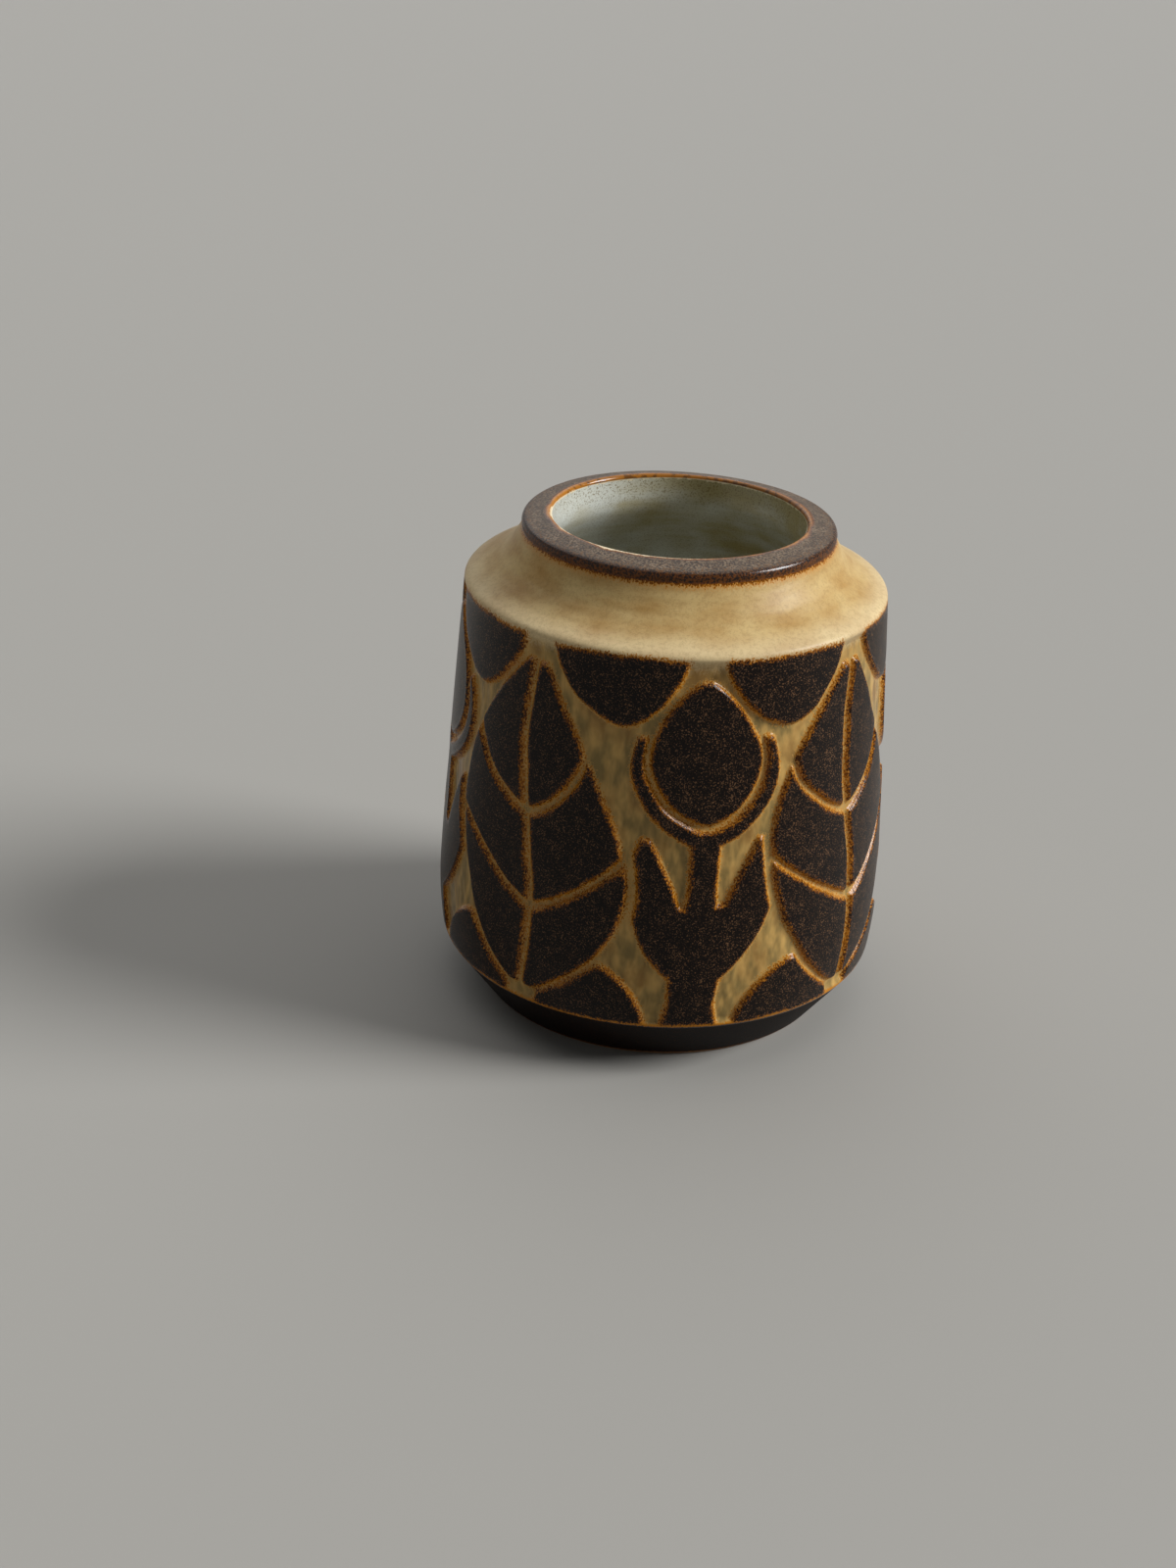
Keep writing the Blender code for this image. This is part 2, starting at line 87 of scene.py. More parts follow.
def colour(name, default, description):
    return FloatVectorProperty(
        name=name,
        description=description,
        default=linear(default),
        size=3,
        min=0,
        max=1,
        subtype="COLOR",
    )


class VaseProfile(PropertyGroup):
    """Sizes of the turned shape."""

    height: length("Height", 0.150, "From the table to the top of the lip")
    foot_radius: length("Foot radius", 0.0543, "Where the vase meets the table")
    foot_line_radius: length("Foot line radius", 0.0670, "Edge between the wall and the sloping foot")
    foot_line: length("Foot line", 0.0175, "Height of that edge")
    belly_radius: length("Belly radius", 0.0681, "Widest radius of the wall")
    belly_height: length("Belly height", 0.0345, "Height of the widest place")
    shoulder_radius: length("Shoulder radius", 0.0621, "Radius at the top of the wall")
    shoulder_drop: length("Shoulder drop", 0.0203, "From the lip down to the top of the wall")
    shoulder_round: length("Shoulder round", 0.0034, "Reach of the rounding over the wall's top")
    neck_radius: length("Neck radius", 0.0456, "Radius under the lip")
    neck_drop: length("Neck drop", 0.0041, "From the lip's top down to the neck")
    cove_drop: length("Cove drop", 0.0140, "Height of the hollow under the lip")
    cove_flare: length("Cove flare", 0.0054, "How far that hollow flares")
    lip_radius: length("Lip radius", 0.0459, "Outer radius of the lip")
    lip_fall: length("Lip fall", 0.0013, "How far the lip slopes down outwards")
    lip_side: length("Lip side", 0.0001, "Height of the lip's upright side")
    lip_round: length("Lip round", 0.0017, "Rounding of the lip's outer edge")
    mouth_radius: length("Mouth radius", 0.0370, "Inner radius of the mouth")
    mouth_round: length("Mouth round", 0.0010, "Rounding of the mouth's edge")
    throat_depth: length("Throat depth", 0.0085, "Upright stretch below the mouth")
    throat_turn: length("Throat turn", 0.0065, "How slowly the throat turns outwards")
    wall: length("Wall", 0.0065, "Thickness of the clay behind the carving")
    inner_shoulder_drop: length("Inner shoulder drop", 0.0150, "Inside, below the wall's top")
    inner_shoulder_round: length("Inner shoulder round", 0.0090, "Reach of the rounding inside")
    floor: length("Floor", 0.0080, "Thickness of the clay floor")
    floor_fillet: length("Floor fillet", 0.0160, "Rounding between the wall and the floor inside")
    foot_ring: length("Foot ring", 0.0085, "Width of the ring that the vase stands on")
    recess: length("Recess", 0.0035, "Depth of the hollow inside that ring")
    bare_foot: length("Bare foot", 0.0006, "Height of the clay left bare above the table")
    glaze: length("Glaze", 0.0006, "Thickness of a glaze layer")
    gap: length("Gap", 0.0003, "Gap between a glaze layer and the clay")
    relief: length("Relief", 0.0014, "Depth of the carving")


class VaseFrieze(PropertyGroup):
    """Sizes of the carved frieze."""

    repeats: IntProperty(name="Repeats", description="Leaves round the vase", default=4, min=2)
    turn: FloatProperty(
        name="Turn",
        description="Angle of the first leaf from +X",
        default=math.radians(52.5),
        subtype="ANGLE",
        unit="ROTATION",
    )
    groove: length("Groove", 0.0026, "Width of the narrow grooves")
    valley: length("Valley", 0.0036, "Least width of the ochre ground round a big leaf")
    tip: length("Tip", 0.0022, "Width at which a field ends")
    leaf_width: length("Leaf width", 0.0620, "Width of a big leaf")
    leaf_lowness: ratio("Leaf lowness", 0.82, "Below 1 the leaf is widest below its middle")
    leaf_fullness: ratio("Leaf fullness", 0.92, "Smaller values give blunter ends")
    leaf_foot_gap: length("Leaf foot gap", 0.0030, "From the foot line up to the leaf")
    leaf_tip_gap: length("Leaf tip gap", 0.0032, "From the leaf up to the shoulder")
    leaf_sway: length("Leaf sway", 0.0030, "Sideways swing of the leaf's middle rib")
    lobes: IntProperty(name="Lobes", description="Lobes on half a leaf", default=3, min=1)
    vein_rise: length("Vein rise", 0.0200, "How far a vein climbs from the rib to the edge")
    vein_bend: ratio("Vein bend", 1.3, "Above 1 a vein climbs more steeply near the edge")
    stalk_width: length("Stalk width", 0.0080, "Width of a stalk")
    stalk_foot_width: length("Stalk foot width", 0.0170, "Width of a stalk at the foot line")
    stalk_sway: length("Stalk sway", 0.0020, "Sideways bow of a stalk")
    sprig_foot: length("Sprig foot", 0.0150, "From the foot line up to the small leaves")
    sprig_tip_drop: length("Sprig tip drop", 0.0041, "From the pod's base down to their tips")
    sprig_width: length("Sprig width", 0.0150, "Width of a small leaf")
    sprig_lean: length("Sprig lean", 0.0135, "How far a small leaf leans out")
    sprig_lowness: ratio("Sprig lowness", 0.85, "Below 1 it is widest below its middle")
    sprig_fullness: ratio("Sprig fullness", 0.8, "Smaller values give blunter ends")
    pod_width: length("Pod width", 0.0325, "Width of a seed pod")
    pod_lowness: ratio("Pod lowness", 0.88, "Below 1 the pod is widest below its middle")
    pod_fullness: ratio("Pod fullness", 0.7, "Smaller values give blunter ends")
    pod_length: length("Pod length", 0.0415, "Height of a seed pod")
    pod_drop: length("Pod drop", 0.0060, "From the shoulder down to the pod")
    sepal: length("Sepal", 0.0045, "Thickness of the cup round the pod")
    sepal_rise: length("Sepal rise", 0.0250, "Height of the cup's points above the pod's base")
    eave_span: length("Eave span", 0.0420, "Width of a field that hangs from the shoulder")
    eave_depth: length("Eave depth", 0.0200, "How far it hangs down")
    mound_span: length("Mound span", 0.0345, "Width of a field that stands on the foot line")
    mound_height: length("Mound height", 0.0190, "How far it stands up")
    dome_start: ratio("Dome start", 1.5, "How slowly those fields narrow at first")
    dome_end: ratio("Dome end", 0.6, "How bluntly they end")


class VaseGlazes(PropertyGroup):
    """Colours of the clay and glazes."""

    clay: colour("Clay", "8A6A4C", "Bare fired stoneware")
    dark: colour("Dark glaze", "0C0503", "Iron glaze on the raised fields and the foot")
    speck: colour("Speck", "7E5C40", "Fine iron specks in the dark glaze")
    rust: colour("Rust", "673808", "Where the dark glaze breaks over an edge")
    amber: colour("Amber", "AD6E16", "The thinnest glaze, outside the rust")
    ochre: colour("Ochre", "C9A25E", "Slopes of the carving")
    pool: colour("Pool", "857042", "Thick glaze on the floor of the carving")
    umber: colour("Umber", "65421A", "Brown streaks on that floor")
    tan: colour("Tan", "C8AE78", "Shoulder glaze")
    cream: colour("Cream", "E8D8B2", "Thin shoulder glaze")
    shade: colour("Shade", "A9844B", "Thick shoulder glaze")
    lip: colour("Lip", "33261B", "Top of the lip")
    lip_speck: colour("Lip speck", "826F59", "Pale grain on the lip")
    lip_side: colour("Lip side", "1A0A03", "Side of the lip")
    liner: colour("Liner", "D3D6CE", "Pale glaze inside")
    # Partly painted shade too: the liner shows more of this tone on the back right, away from the lit side
    liner_thin_and_painted_shade: colour("Liner shade", "A99A66", "Where that glaze is thin")
    liner_speck: colour("Liner speck", "75633A", "Fine specks in it")
    floor: colour("Floor", "9A9893", "Plain floor under the vase")


GROUPS = (
    ("vase_profile", VaseProfile),
    ("vase_frieze", VaseFrieze),
    ("vase_glazes", VaseGlazes),
)


# Turned lines: (radius, height) pairs


def arc(centre, radius, start, end, steps=16):
    """A round stretch; the angles are in degrees from the outward direction."""
    angles = np.radians(np.linspace(start, end, steps + 1))
    return np.stack([centre[0] + radius * np.cos(angles), centre[1] + radius * np.sin(angles)], 1)


def bezier(start, pull, push, end, steps=48):
    """A cubic curve between two ends, drawn by its two handles."""
    t = np.linspace(0, 1, steps + 1)[:, None]
    weights = ((1 - t) ** 3, 3 * t * (1 - t) ** 2, 3 * t * t * (1 - t), t**3)
    return sum(weight * np.array(corner) for weight, corner in zip(weights, (start, pull, push, end)))


def distances(line):
    """How far along the line each of its points lies."""
    return np.concatenate([[0], np.cumsum(np.hypot(*np.diff(line, axis=0).T))])


def even(line, spacing):
    """The line with evenly spaced points."""
    far = distances(line)
    stations = np.linspace(0, far[-1], int(far[-1] / spacing) + 1)
    return np.stack([np.interp(stations, far, line[:, axis]) for axis in (0, 1)], 1)


def softened(line, spacing, reach):
    """An evenly spaced line with its corners rounded over a reach; its two ends stay."""
    half = int(reach / spacing)
    held = np.concatenate(
        [
            2 * line[0] - line[half:0:-1],
            line,
            2 * line[-1] - line[-2 : -half - 2 : -1],
        ]
    )
    window = np.hanning(2 * half + 3)[1:-1]
    window /= window.sum()
    return np.stack([np.convolve(held[:, axis], window, "valid") for axis in (0, 1)], 1)


def outward(line):
    """Unit normals of a line that runs with the solid on its right."""
    along = np.gradient(line, axis=0)
    along /= np.hypot(along[:, 0], along[:, 1])[:, None]
    return np.stack([-along[:, 1], along[:, 0]], 1)


def smooth(value, low, high):
    """0 below low, 1 above high, and an S-curve between them."""
    share = np.clip((value - low) / (high - low), 0, 1)
    return share * share * (3 - 2 * share)


class OuterLine:
    """The outside, from the mouth's edge over the lip, down the shoulder and wall to the bare ring."""

    # Spacing of its points, and the reach over which its corners are rounded
    SPACING, EDGE_REACH = 0.1 * MM, 0.9 * MM
    # Above 1 the wall bows out
    BULGE_POWER = 1.15
    WALL_POINTS = 200
    # Turn of the line that adds a row
    BEND = math.radians(8)

    def __init__(self, sizes):
        self.sizes = sizes
        self.shoulder_height = sizes.height - sizes.shoulder_drop
        lip = self.lip()
        shoulder = self.shoulder()
        wall = self.wall()
        foot = np.array([(sizes.foot_line_radius, sizes.foot_line), self.foot_end()])
        sharp = np.concatenate([lip, shoulder, wall[1:], foot[1:]])
        self.points = softened(even(sharp, self.SPACING), self.SPACING, self.EDGE_REACH)
        self.stations = distances(self.points)
        self.normals = outward(self.points)
        marks = np.cumsum([distances(part)[-1] for part in (lip, shoulder, wall)])
        neck_step = np.hypot(*(shoulder[0] - lip[-1]))
        self.neck = marks[0] + neck_step
        self.shoulder_edge = marks[1] + neck_step
        self.foot_line = marks[2] + neck_step
        self.end = self.stations[-1]

    def lip(self):
        s = self.sizes
        mouth = arc((s.mouth_radius + s.mouth_round, s.height - s.mouth_round), s.mouth_round, 180, 90)
        edge = s.height - s.lip_fall - s.lip_round
        run = s.lip_radius - s.lip_round - s.mouth_radius - s.mouth_round
        slope = math.degrees(math.atan2(s.lip_fall, run))
        outer = arc((s.lip_radius - s.lip_round, edge), s.lip_round, 90 - slope, 0)
        return np.concatenate([mouth, outer, [(s.lip_radius, edge - s.lip_side)]])

    def shoulder(self):
        s = self.sizes
        neck = (s.neck_radius, s.height - s.neck_drop)
        pull = (s.neck_radius + s.cove_flare, neck[1] - s.cove_drop)
        push = (s.shoulder_radius, self.shoulder_height + s.shoulder_round)
        return bezier(neck, pull, push, (s.shoulder_radius, self.shoulder_height))

    def wall_radius(self, height):
        """A near-straight taper that rounds in below the belly."""
        s = self.sizes
        below = np.clip((s.belly_height - height) / (s.belly_height - s.foot_line), 0, None)
        above = np.clip((height - s.belly_height) / (self.shoulder_height - s.belly_height), 0, 1)
        narrowed = (s.belly_radius - s.shoulder_radius) * above**self.BULGE_POWER
        return s.belly_radius - (s.belly_radius - s.foot_line_radius) * below**2 - narrowed

    def wall(self):
        heights = np.linspace(self.shoulder_height, self.sizes.foot_line, self.WALL_POINTS)
        return np.stack([self.wall_radius(heights), heights], 1)

    def foot_end(self):
        s = self.sizes
        slope = (s.foot_line_radius - s.foot_radius) / s.foot_line
        return (s.foot_radius + slope * s.bare_foot, s.bare_foot)

    def rows(self, start, end, spacing):
        """Stations that lie closer together where the line turns."""
        inside = (self.stations > start) & (self.stations < end)
        stations = np.concatenate([[start], self.stations[inside], [end]])
        heading = np.unwrap(np.arctan2(*self.normal(stations).T))
        steps = np.diff(stations) / spacing + np.abs(np.diff(heading)) / self.BEND
        effort = np.concatenate([[0], np.cumsum(steps)])
        return np.interp(np.linspace(0, effort[-1], math.ceil(effort[-1]) + 1), effort, stations)

    def point(self, station):
        return np.stack([np.interp(station, self.stations, self.points[:, axis]) for axis in (0, 1)], -1)

    def normal(self, station):
        return np.stack([np.interp(station, self.stations, self.normals[:, axis]) for axis in (0, 1)], -1)


INSIDE_SPACING, INSIDE_ROWS, THROAT_REACH = 0.4 * MM, 1.2 * MM, 5 * MM
FILLET_STEPS = 24


def inner_line(sizes):
    """The finished inside, from the mouth down to the middle of the floor."""
    s = sizes
    outer = OuterLine(s)

    def radius(height):
        return float(outer.wall_radius(height)) - s.relief - s.wall - 2 * (s.glaze + s.gap)

    throat = (s.mouth_radius, s.height - s.throat_depth)
    wall_top = outer.shoulder_height - s.inner_shoulder_drop
    wall = (radius(wall_top), wall_top)
    pull = (throat[0], throat[1] - s.throat_turn)
    push = (wall[0], wall[1] + s.inner_shoulder_round)
    floor = s.recess + s.floor + s.glaze + s.gap
    fillet_top = floor + s.floor_fillet
    centre = (radius(fillet_top) - s.floor_fillet, fillet_top)
    fillet = arc(centre, s.floor_fillet, 0, -90, FILLET_STEPS)
    mouth = [(s.mouth_radius, s.height - s.mouth_round)]
    line = np.concatenate([mouth, bezier(throat, pull, push, wall), fillet, [(0, floor)]])
    line = softened(even(line, INSIDE_SPACING), INSIDE_SPACING, THROAT_REACH)
    return even(line, INSIDE_ROWS)


# Frieze, laid out flat


def share_of(up, low, high):
    """How far up a stretch a height lies, from 0 to 1."""
    return np.clip((up - low) / (high - low), 0, 1)


def swell(share, lowness, fullness):
    """A width that grows from 0 at both ends to 1."""
    return np.abs(np.sin(math.pi * share**lowness)) ** fullness


def crowded(low, high, steps):
    """Heights that crowd towards both ends, where an outline turns most."""
    return (low + high) / 2 - (high - low) / 2 * np.cos(np.linspace(0, math.pi, steps + 1))


def signed_distance(outline, along, up):
    """Distance from a closed outline at each point, positive inside it."""
    nearest = np.full(along.shape, np.inf)
    inside = np.zeros(along.shape, bool)
    for (x, y), (next_x, next_y) in zip(outline, np.roll(outline, -1, axis=0)):
        run, rise = next_x - x, next_y - y
        if run == 0 and rise == 0:
            continue
        t = np.clip(((along - x) * run + (up - y) * rise) / (run * run + rise * rise), 0, 1)
        nearest = np.minimum(nearest, (along - x - t * run) ** 2 + (up - y - t * rise) ** 2)
        if rise:
            inside ^= ((y > up) != (next_y > up)) & (along < x + (up - y) * run / rise)
    return np.sqrt(nearest) * np.where(inside, 1, -1)


class Carving:
    """The frieze's fields, and how far any point of the wall lies inside or outside them."""

    # The grid of distances: its cells, its reach beyond the fields and the softening of their corners
    CELL, REACH, SOFTNESS = 0.3 * MM, 6 * MM, 0.42 * MM
    # Points on an edge of an outline, and heights tried to find where a field is wide enough
    STEPS, SEARCH = 36, 400
    LEFT, RIGHT = -1, 1

    def __init__(self, profile, sizes):
        self.sizes = f = sizes
        self.foot_line = profile.foot_line
        self.top = profile.height - profile.shoulder_drop - profile.gap
        self.pitch = TURN * profile.belly_radius / f.repeats
        self.leaf_foot = self.foot_line + f.leaf_foot_gap
        self.leaf_tip = self.top - f.leaf_tip_gap
        self.pod_top = self.top - f.pod_drop
        self.pod_base = self.pod_top - f.pod_length
        self.cup_top = self.pod_base + f.sepal_rise
        self.sprig_base = self.foot_line + f.sprig_foot
        self.sprig_tip = self.pod_base - f.sprig_tip_drop
        self.vein_spacing = (self.leaf_tip - self.leaf_foot - f.vein_rise) / f.lobes
        self.measure()

    def dome(self, share):
        return (1 - share**self.sizes.dome_start) ** self.sizes.dome_end

    def midrib(self, up):
        return self.sizes.leaf_sway * np.sin(TURN * share_of(up, self.leaf_foot, self.leaf_tip))

    def leaf_half(self, up):
        f = self.sizes
        share = share_of(up, self.leaf_foot, self.leaf_tip)
        return f.leaf_width / 2 * swell(share, f.leaf_lowness, f.leaf_fullness)

    def stalk_line(self, up):
        share = share_of(up, self.foot_line, self.pod_top)
        return self.pitch / 2 + self.sizes.stalk_sway * np.sin(math.pi * share)

    def stalk_half(self, up):
        f = self.sizes
        share = share_of(up, self.foot_line, self.sprig_tip)
        return (f.stalk_width + (f.stalk_foot_width - f.stalk_width) * (1 - share) ** 3) / 2

    def pod_half(self, up, grown=0):
        f = self.sizes
        share = share_of(up, self.pod_base - grown, self.pod_top + grown)
        return (f.pod_width / 2 + grown) * swell(share, f.pod_lowness, f.pod_fullness)

    def sprig_reach(self, up):
        f = self.sizes
        share = share_of(up, self.sprig_base, self.sprig_tip)
        middle = self.stalk_half(up) + f.sprig_lean * np.sin(math.pi / 2 * share)
        half = f.sprig_width / 2 * swell(share, f.sprig_lowness, f.sprig_fullness)
        return middle - half, middle + half

    def sepal_reach(self, up):
        f = self.sizes
        inner = self.pod_half(up, f.groove)
        thick = self.pod_half(up, f.groove + f.sepal) - inner
        taper = share_of(up, self.pod_base, self.cup_top) ** 2
        return inner, np.maximum(self.stalk_half(up), inner + thick * (1 - taper) + f.tip * taper)

    def stem_reach(self, up):
        leaf = np.where((up > self.sprig_base) & (up < self.sprig_tip), self.sprig_reach(up)[1], 0)
        return np.where(up > self.cup_top, self.pod_half(up), np.maximum(leaf, self.sepal_reach(up)[1]))

    def room(self, side, up):
        leaf_middle = self.midrib(up) + (self.pitch if side == self.RIGHT else 0)
        return side * (leaf_middle - self.stalk_line(up)) - self.leaf_half(up) - self.sizes.valley

    def reach(self, width, low, high):
        """The heights between which a field is wider than its tip, round its widest place."""
        heights = np.linspace(low, high, self.SEARCH + 1)
        wide = width(heights) > self.sizes.tip
        widest = int(np.argmax(width(heights)))
        first = widest - int(np.argmin(np.append(wide[widest::-1], False))) + 1
        last = widest + int(np.argmin(np.append(wide[widest:], False))) - 1
        return heights[max(first, 0)], heights[min(last, self.SEARCH)]

    def between(self, left, right, low, high):
        """Outline of a field between two edges, each a function of height."""
        low, high = self.reach(lambda up: right(up) - left(up), low, high)
        up = crowded(low, high, self.STEPS)
        there = np.stack([right(up), up], 1)
        back = np.stack([left(up), up], 1)[::-1]
        return np.concatenate([there, back])

    def beside_stalk(self, side, inner, outer, low, high):
        """Outline of a field on one side of the stalk, between two distances from its line."""

        def near(up):
            return self.stalk_line(up) + side * inner(up)

        def far(up):
            return self.stalk_line(up) + side * np.minimum(outer(up), self.room(side, up))

        left, right = (near, far) if side == self.RIGHT else (far, near)
        return self.between(left, right, low, high)

    def eave(self, side):
        f = self.sizes
        middle = self.pitch / 4

        def half(up):
            return f.eave_span / 2 * self.dome(share_of(self.top - up, 0, f.eave_depth))

        def inner(up):
            return np.maximum(middle - half(up), self.stem_reach(up) + f.valley)

        low = self.top - f.eave_depth
        return self.beside_stalk(side, inner, lambda up: middle + half(up), low, self.top)

    def mound(self, side):
        f = self.sizes
        middle = (self.pitch + f.stalk_foot_width) / 4

        def half(up):
            return f.mound_span / 2 * self.dome(share_of(up, self.foot_line, high))

        def inner(up):
            return np.maximum(middle - half(up), self.stem_reach(up) + f.groove)

        high = self.foot_line + f.mound_height
        return self.beside_stalk(side, inner, lambda up: middle + half(up), self.foot_line, high)

    def pod(self):
        return self.between(
            lambda up: self.stalk_line(up) - self.pod_half(up),
            lambda up: self.stalk_line(up) + self.pod_half(up),
            self.pod_base,
            self.pod_top,
        )

    def stem_edge(self, side):
        """One side of the stem: up the stalk, round its leaf, up the cup and into it."""
        f = self.sizes

        def clear_of_stalk(up):
            return self.sprig_reach(up)[0] - self.stalk_half(up) - f.groove + f.tip

        span = (self.sprig_base, self.sprig_tip)
        sprig_foot, sprig_tip = self.reach(lambda up: np.subtract(*self.sprig_reach(up)[::-1]), *span)
        crotch = self.reach(clear_of_stalk, *span)[0]
        cup_base = self.pod_base - f.groove - f.sepal
        low = np.array([self.foot_line, (self.foot_line + sprig_foot) / 2])
        out = crowded(sprig_foot, sprig_tip, self.STEPS)
        back = crowded(sprig_tip, crotch, self.STEPS)
        cup = crowded(cup_base, self.cup_top, self.STEPS)
        into = crowded(self.cup_top, self.pod_base - f.groove, self.STEPS)
        parts = [
            (self.stalk_half(low), low),
            (np.minimum(self.sprig_reach(out)[1], self.room(side, out)), out),
            (np.maximum(self.sprig_reach(back)[0], self.stalk_half(back) + f.groove), back),
            (self.stalk_half(np.array([crotch])), np.array([crotch])),
            (self.sepal_reach(cup)[1], cup),
            (self.sepal_reach(into)[0], into),
        ]
        return np.concatenate([np.stack(part, 1) for part in parts])

    def stem(self):
        edges = []
        for side in (self.RIGHT, self.LEFT):
            edge = self.stem_edge(side)
            edges.append(np.stack([self.stalk_line(edge[:, 1]) + side * edge[:, 0], edge[:, 1]], 1))
        return np.concatenate([edges[0], edges[1][-2::-1]])

    def leaf_point(self, side, across, up):
        """Points on half a leaf: across runs from 0 beside the midrib's groove to 1 on the edge."""
        beside = self.sizes.groove / 2
        out = beside + across * np.maximum(self.leaf_half(up) - beside, 0)
        return np.stack([self.midrib(up) + side * out, up + 0 * across], 1)

    def vein_side(self, side, vein, away):
        f = self.sizes
        across = np.linspace(0, 1, self.STEPS)
        return self.leaf_point(side, across, vein + f.vein_rise * across**f.vein_bend + away)

    def leaf_lobe(self, side, index):
        f = self.sizes
        ends = self.reach(lambda up: self.leaf_half(up) - f.groove / 2, self.leaf_foot, self.leaf_tip)
        tips = [self.leaf_point(side, np.array([0.0, 1.0]), np.full(2, end)) for end in ends]
        lower, upper = tips
        away = f.groove / 2 * math.hypot(1, 2 * f.vein_rise / f.leaf_width)
        if index > 0:
            lower = self.vein_side(side, self.leaf_foot + self.vein_spacing * index, away)
        if index < f.lobes - 1:
            upper = self.vein_side(side, self.leaf_foot + self.vein_spacing * (index + 1), -away)
        edge_up = np.linspace(lower[-1][1], upper[-1][1], self.STEPS)[1:-1]
        rib_up = np.linspace(upper[0][1], lower[0][1], self.STEPS)[1:-1]
        edge = self.leaf_point(side, np.ones_like(edge_up), edge_up)
        rib = self.leaf_point(side, np.zeros_like(rib_up), rib_up)
        return np.concatenate([lower, edge, upper[::-1], rib])

    def fields(self):
        outlines = [self.stem(), self.pod()]
        for side in (self.LEFT, self.RIGHT):
            outlines += [self.leaf_lobe(side, index) for index in range(self.sizes.lobes)]
            outlines += [self.eave(side), self.mound(side)]
        return outlines

    def measure(self):
        """Fills a grid over one repeat with the distance from the fields' edges, corners softened."""
        self.columns = round(self.pitch / self.CELL)
        self.cell = self.pitch / self.columns
        self.low = self.foot_line - self.REACH
        rows = math.ceil((self.top + self.REACH - self.low) / self.cell)
        along = np.arange(self.columns) * self.cell
        up = self.low + np.arange(rows) * self.cell
        grid = np.full((rows, self.columns), -self.REACH)
        for outline in self.fields():
            for shift in (-self.pitch, 0, self.pitch):
                moved = outline + (shift, 0)
                low, high = moved.min(0) - self.REACH, moved.max(0) + self.REACH
                near_along = np.flatnonzero((along > low[0]) & (along < high[0]))
                near_up = np.flatnonzero((up > low[1]) & (up < high[1]))
                if not len(near_along):
                    continue
                patch = np.ix_(near_up, near_along)
                spots = np.meshgrid(along[near_along], up[near_up])
                grid[patch] = np.maximum(grid[patch], signed_distance(moved, *spots))
        self.grid = self.blurred(grid)

    def blurred(self, grid):
        half = math.ceil(3 * self.SOFTNESS / self.cell)
        steps = np.arange(-half, half + 1)
        weights = np.exp(-((steps * self.cell / self.SOFTNESS) ** 2) / 2)
        weights /= weights.sum()
        round_the_vase = sum(w * np.roll(grid, step, 1) for w, step in zip(weights, steps))
        held = np.pad(round_the_vase, ((half, half), (0, 0)), mode="edge")
        return sum(w * held[half + step : half + step + len(grid)] for w, step in zip(weights, steps))

    def inside(self, along, up):
        """How far inside the nearest field each point lies; outside the fields it is negative."""
        x = along / self.cell
        y = np.clip((up - self.low) / self.cell, 0, len(self.grid) - 1.001)
        column, row = np.floor(x).astype(int), np.floor(y).astype(int)
        x, y = x - column, y - row
        here, after = column % self.columns, (column + 1) % self.columns
        lower = self.grid[row, here] * (1 - x) + self.grid[row, after] * x
        upper = self.grid[row + 1, here] * (1 - x) + self.grid[row + 1, after] * x
        return lower * (1 - y) + upper * y


# Surface of the vase


# Height over which a wave of the drift leans by up to a radian
CLIMB = 60 * MM


def wander(angle, up, reach, seed, waves=(5, 9, 14, 22)):
    """A slow uneven drift that closes round the vase, as a hand leaves it: a sum of leaning waves, each with
    its own number of crests."""
    random = np.random.default_rng(seed)
    total = 0
    for count in waves:
        lean = random.uniform(-1, 1) * count / CLIMB
        total = total + np.sin(count * angle + lean * up + random.uniform(0, TURN))
    return reach * total / math.sqrt(len(waves))


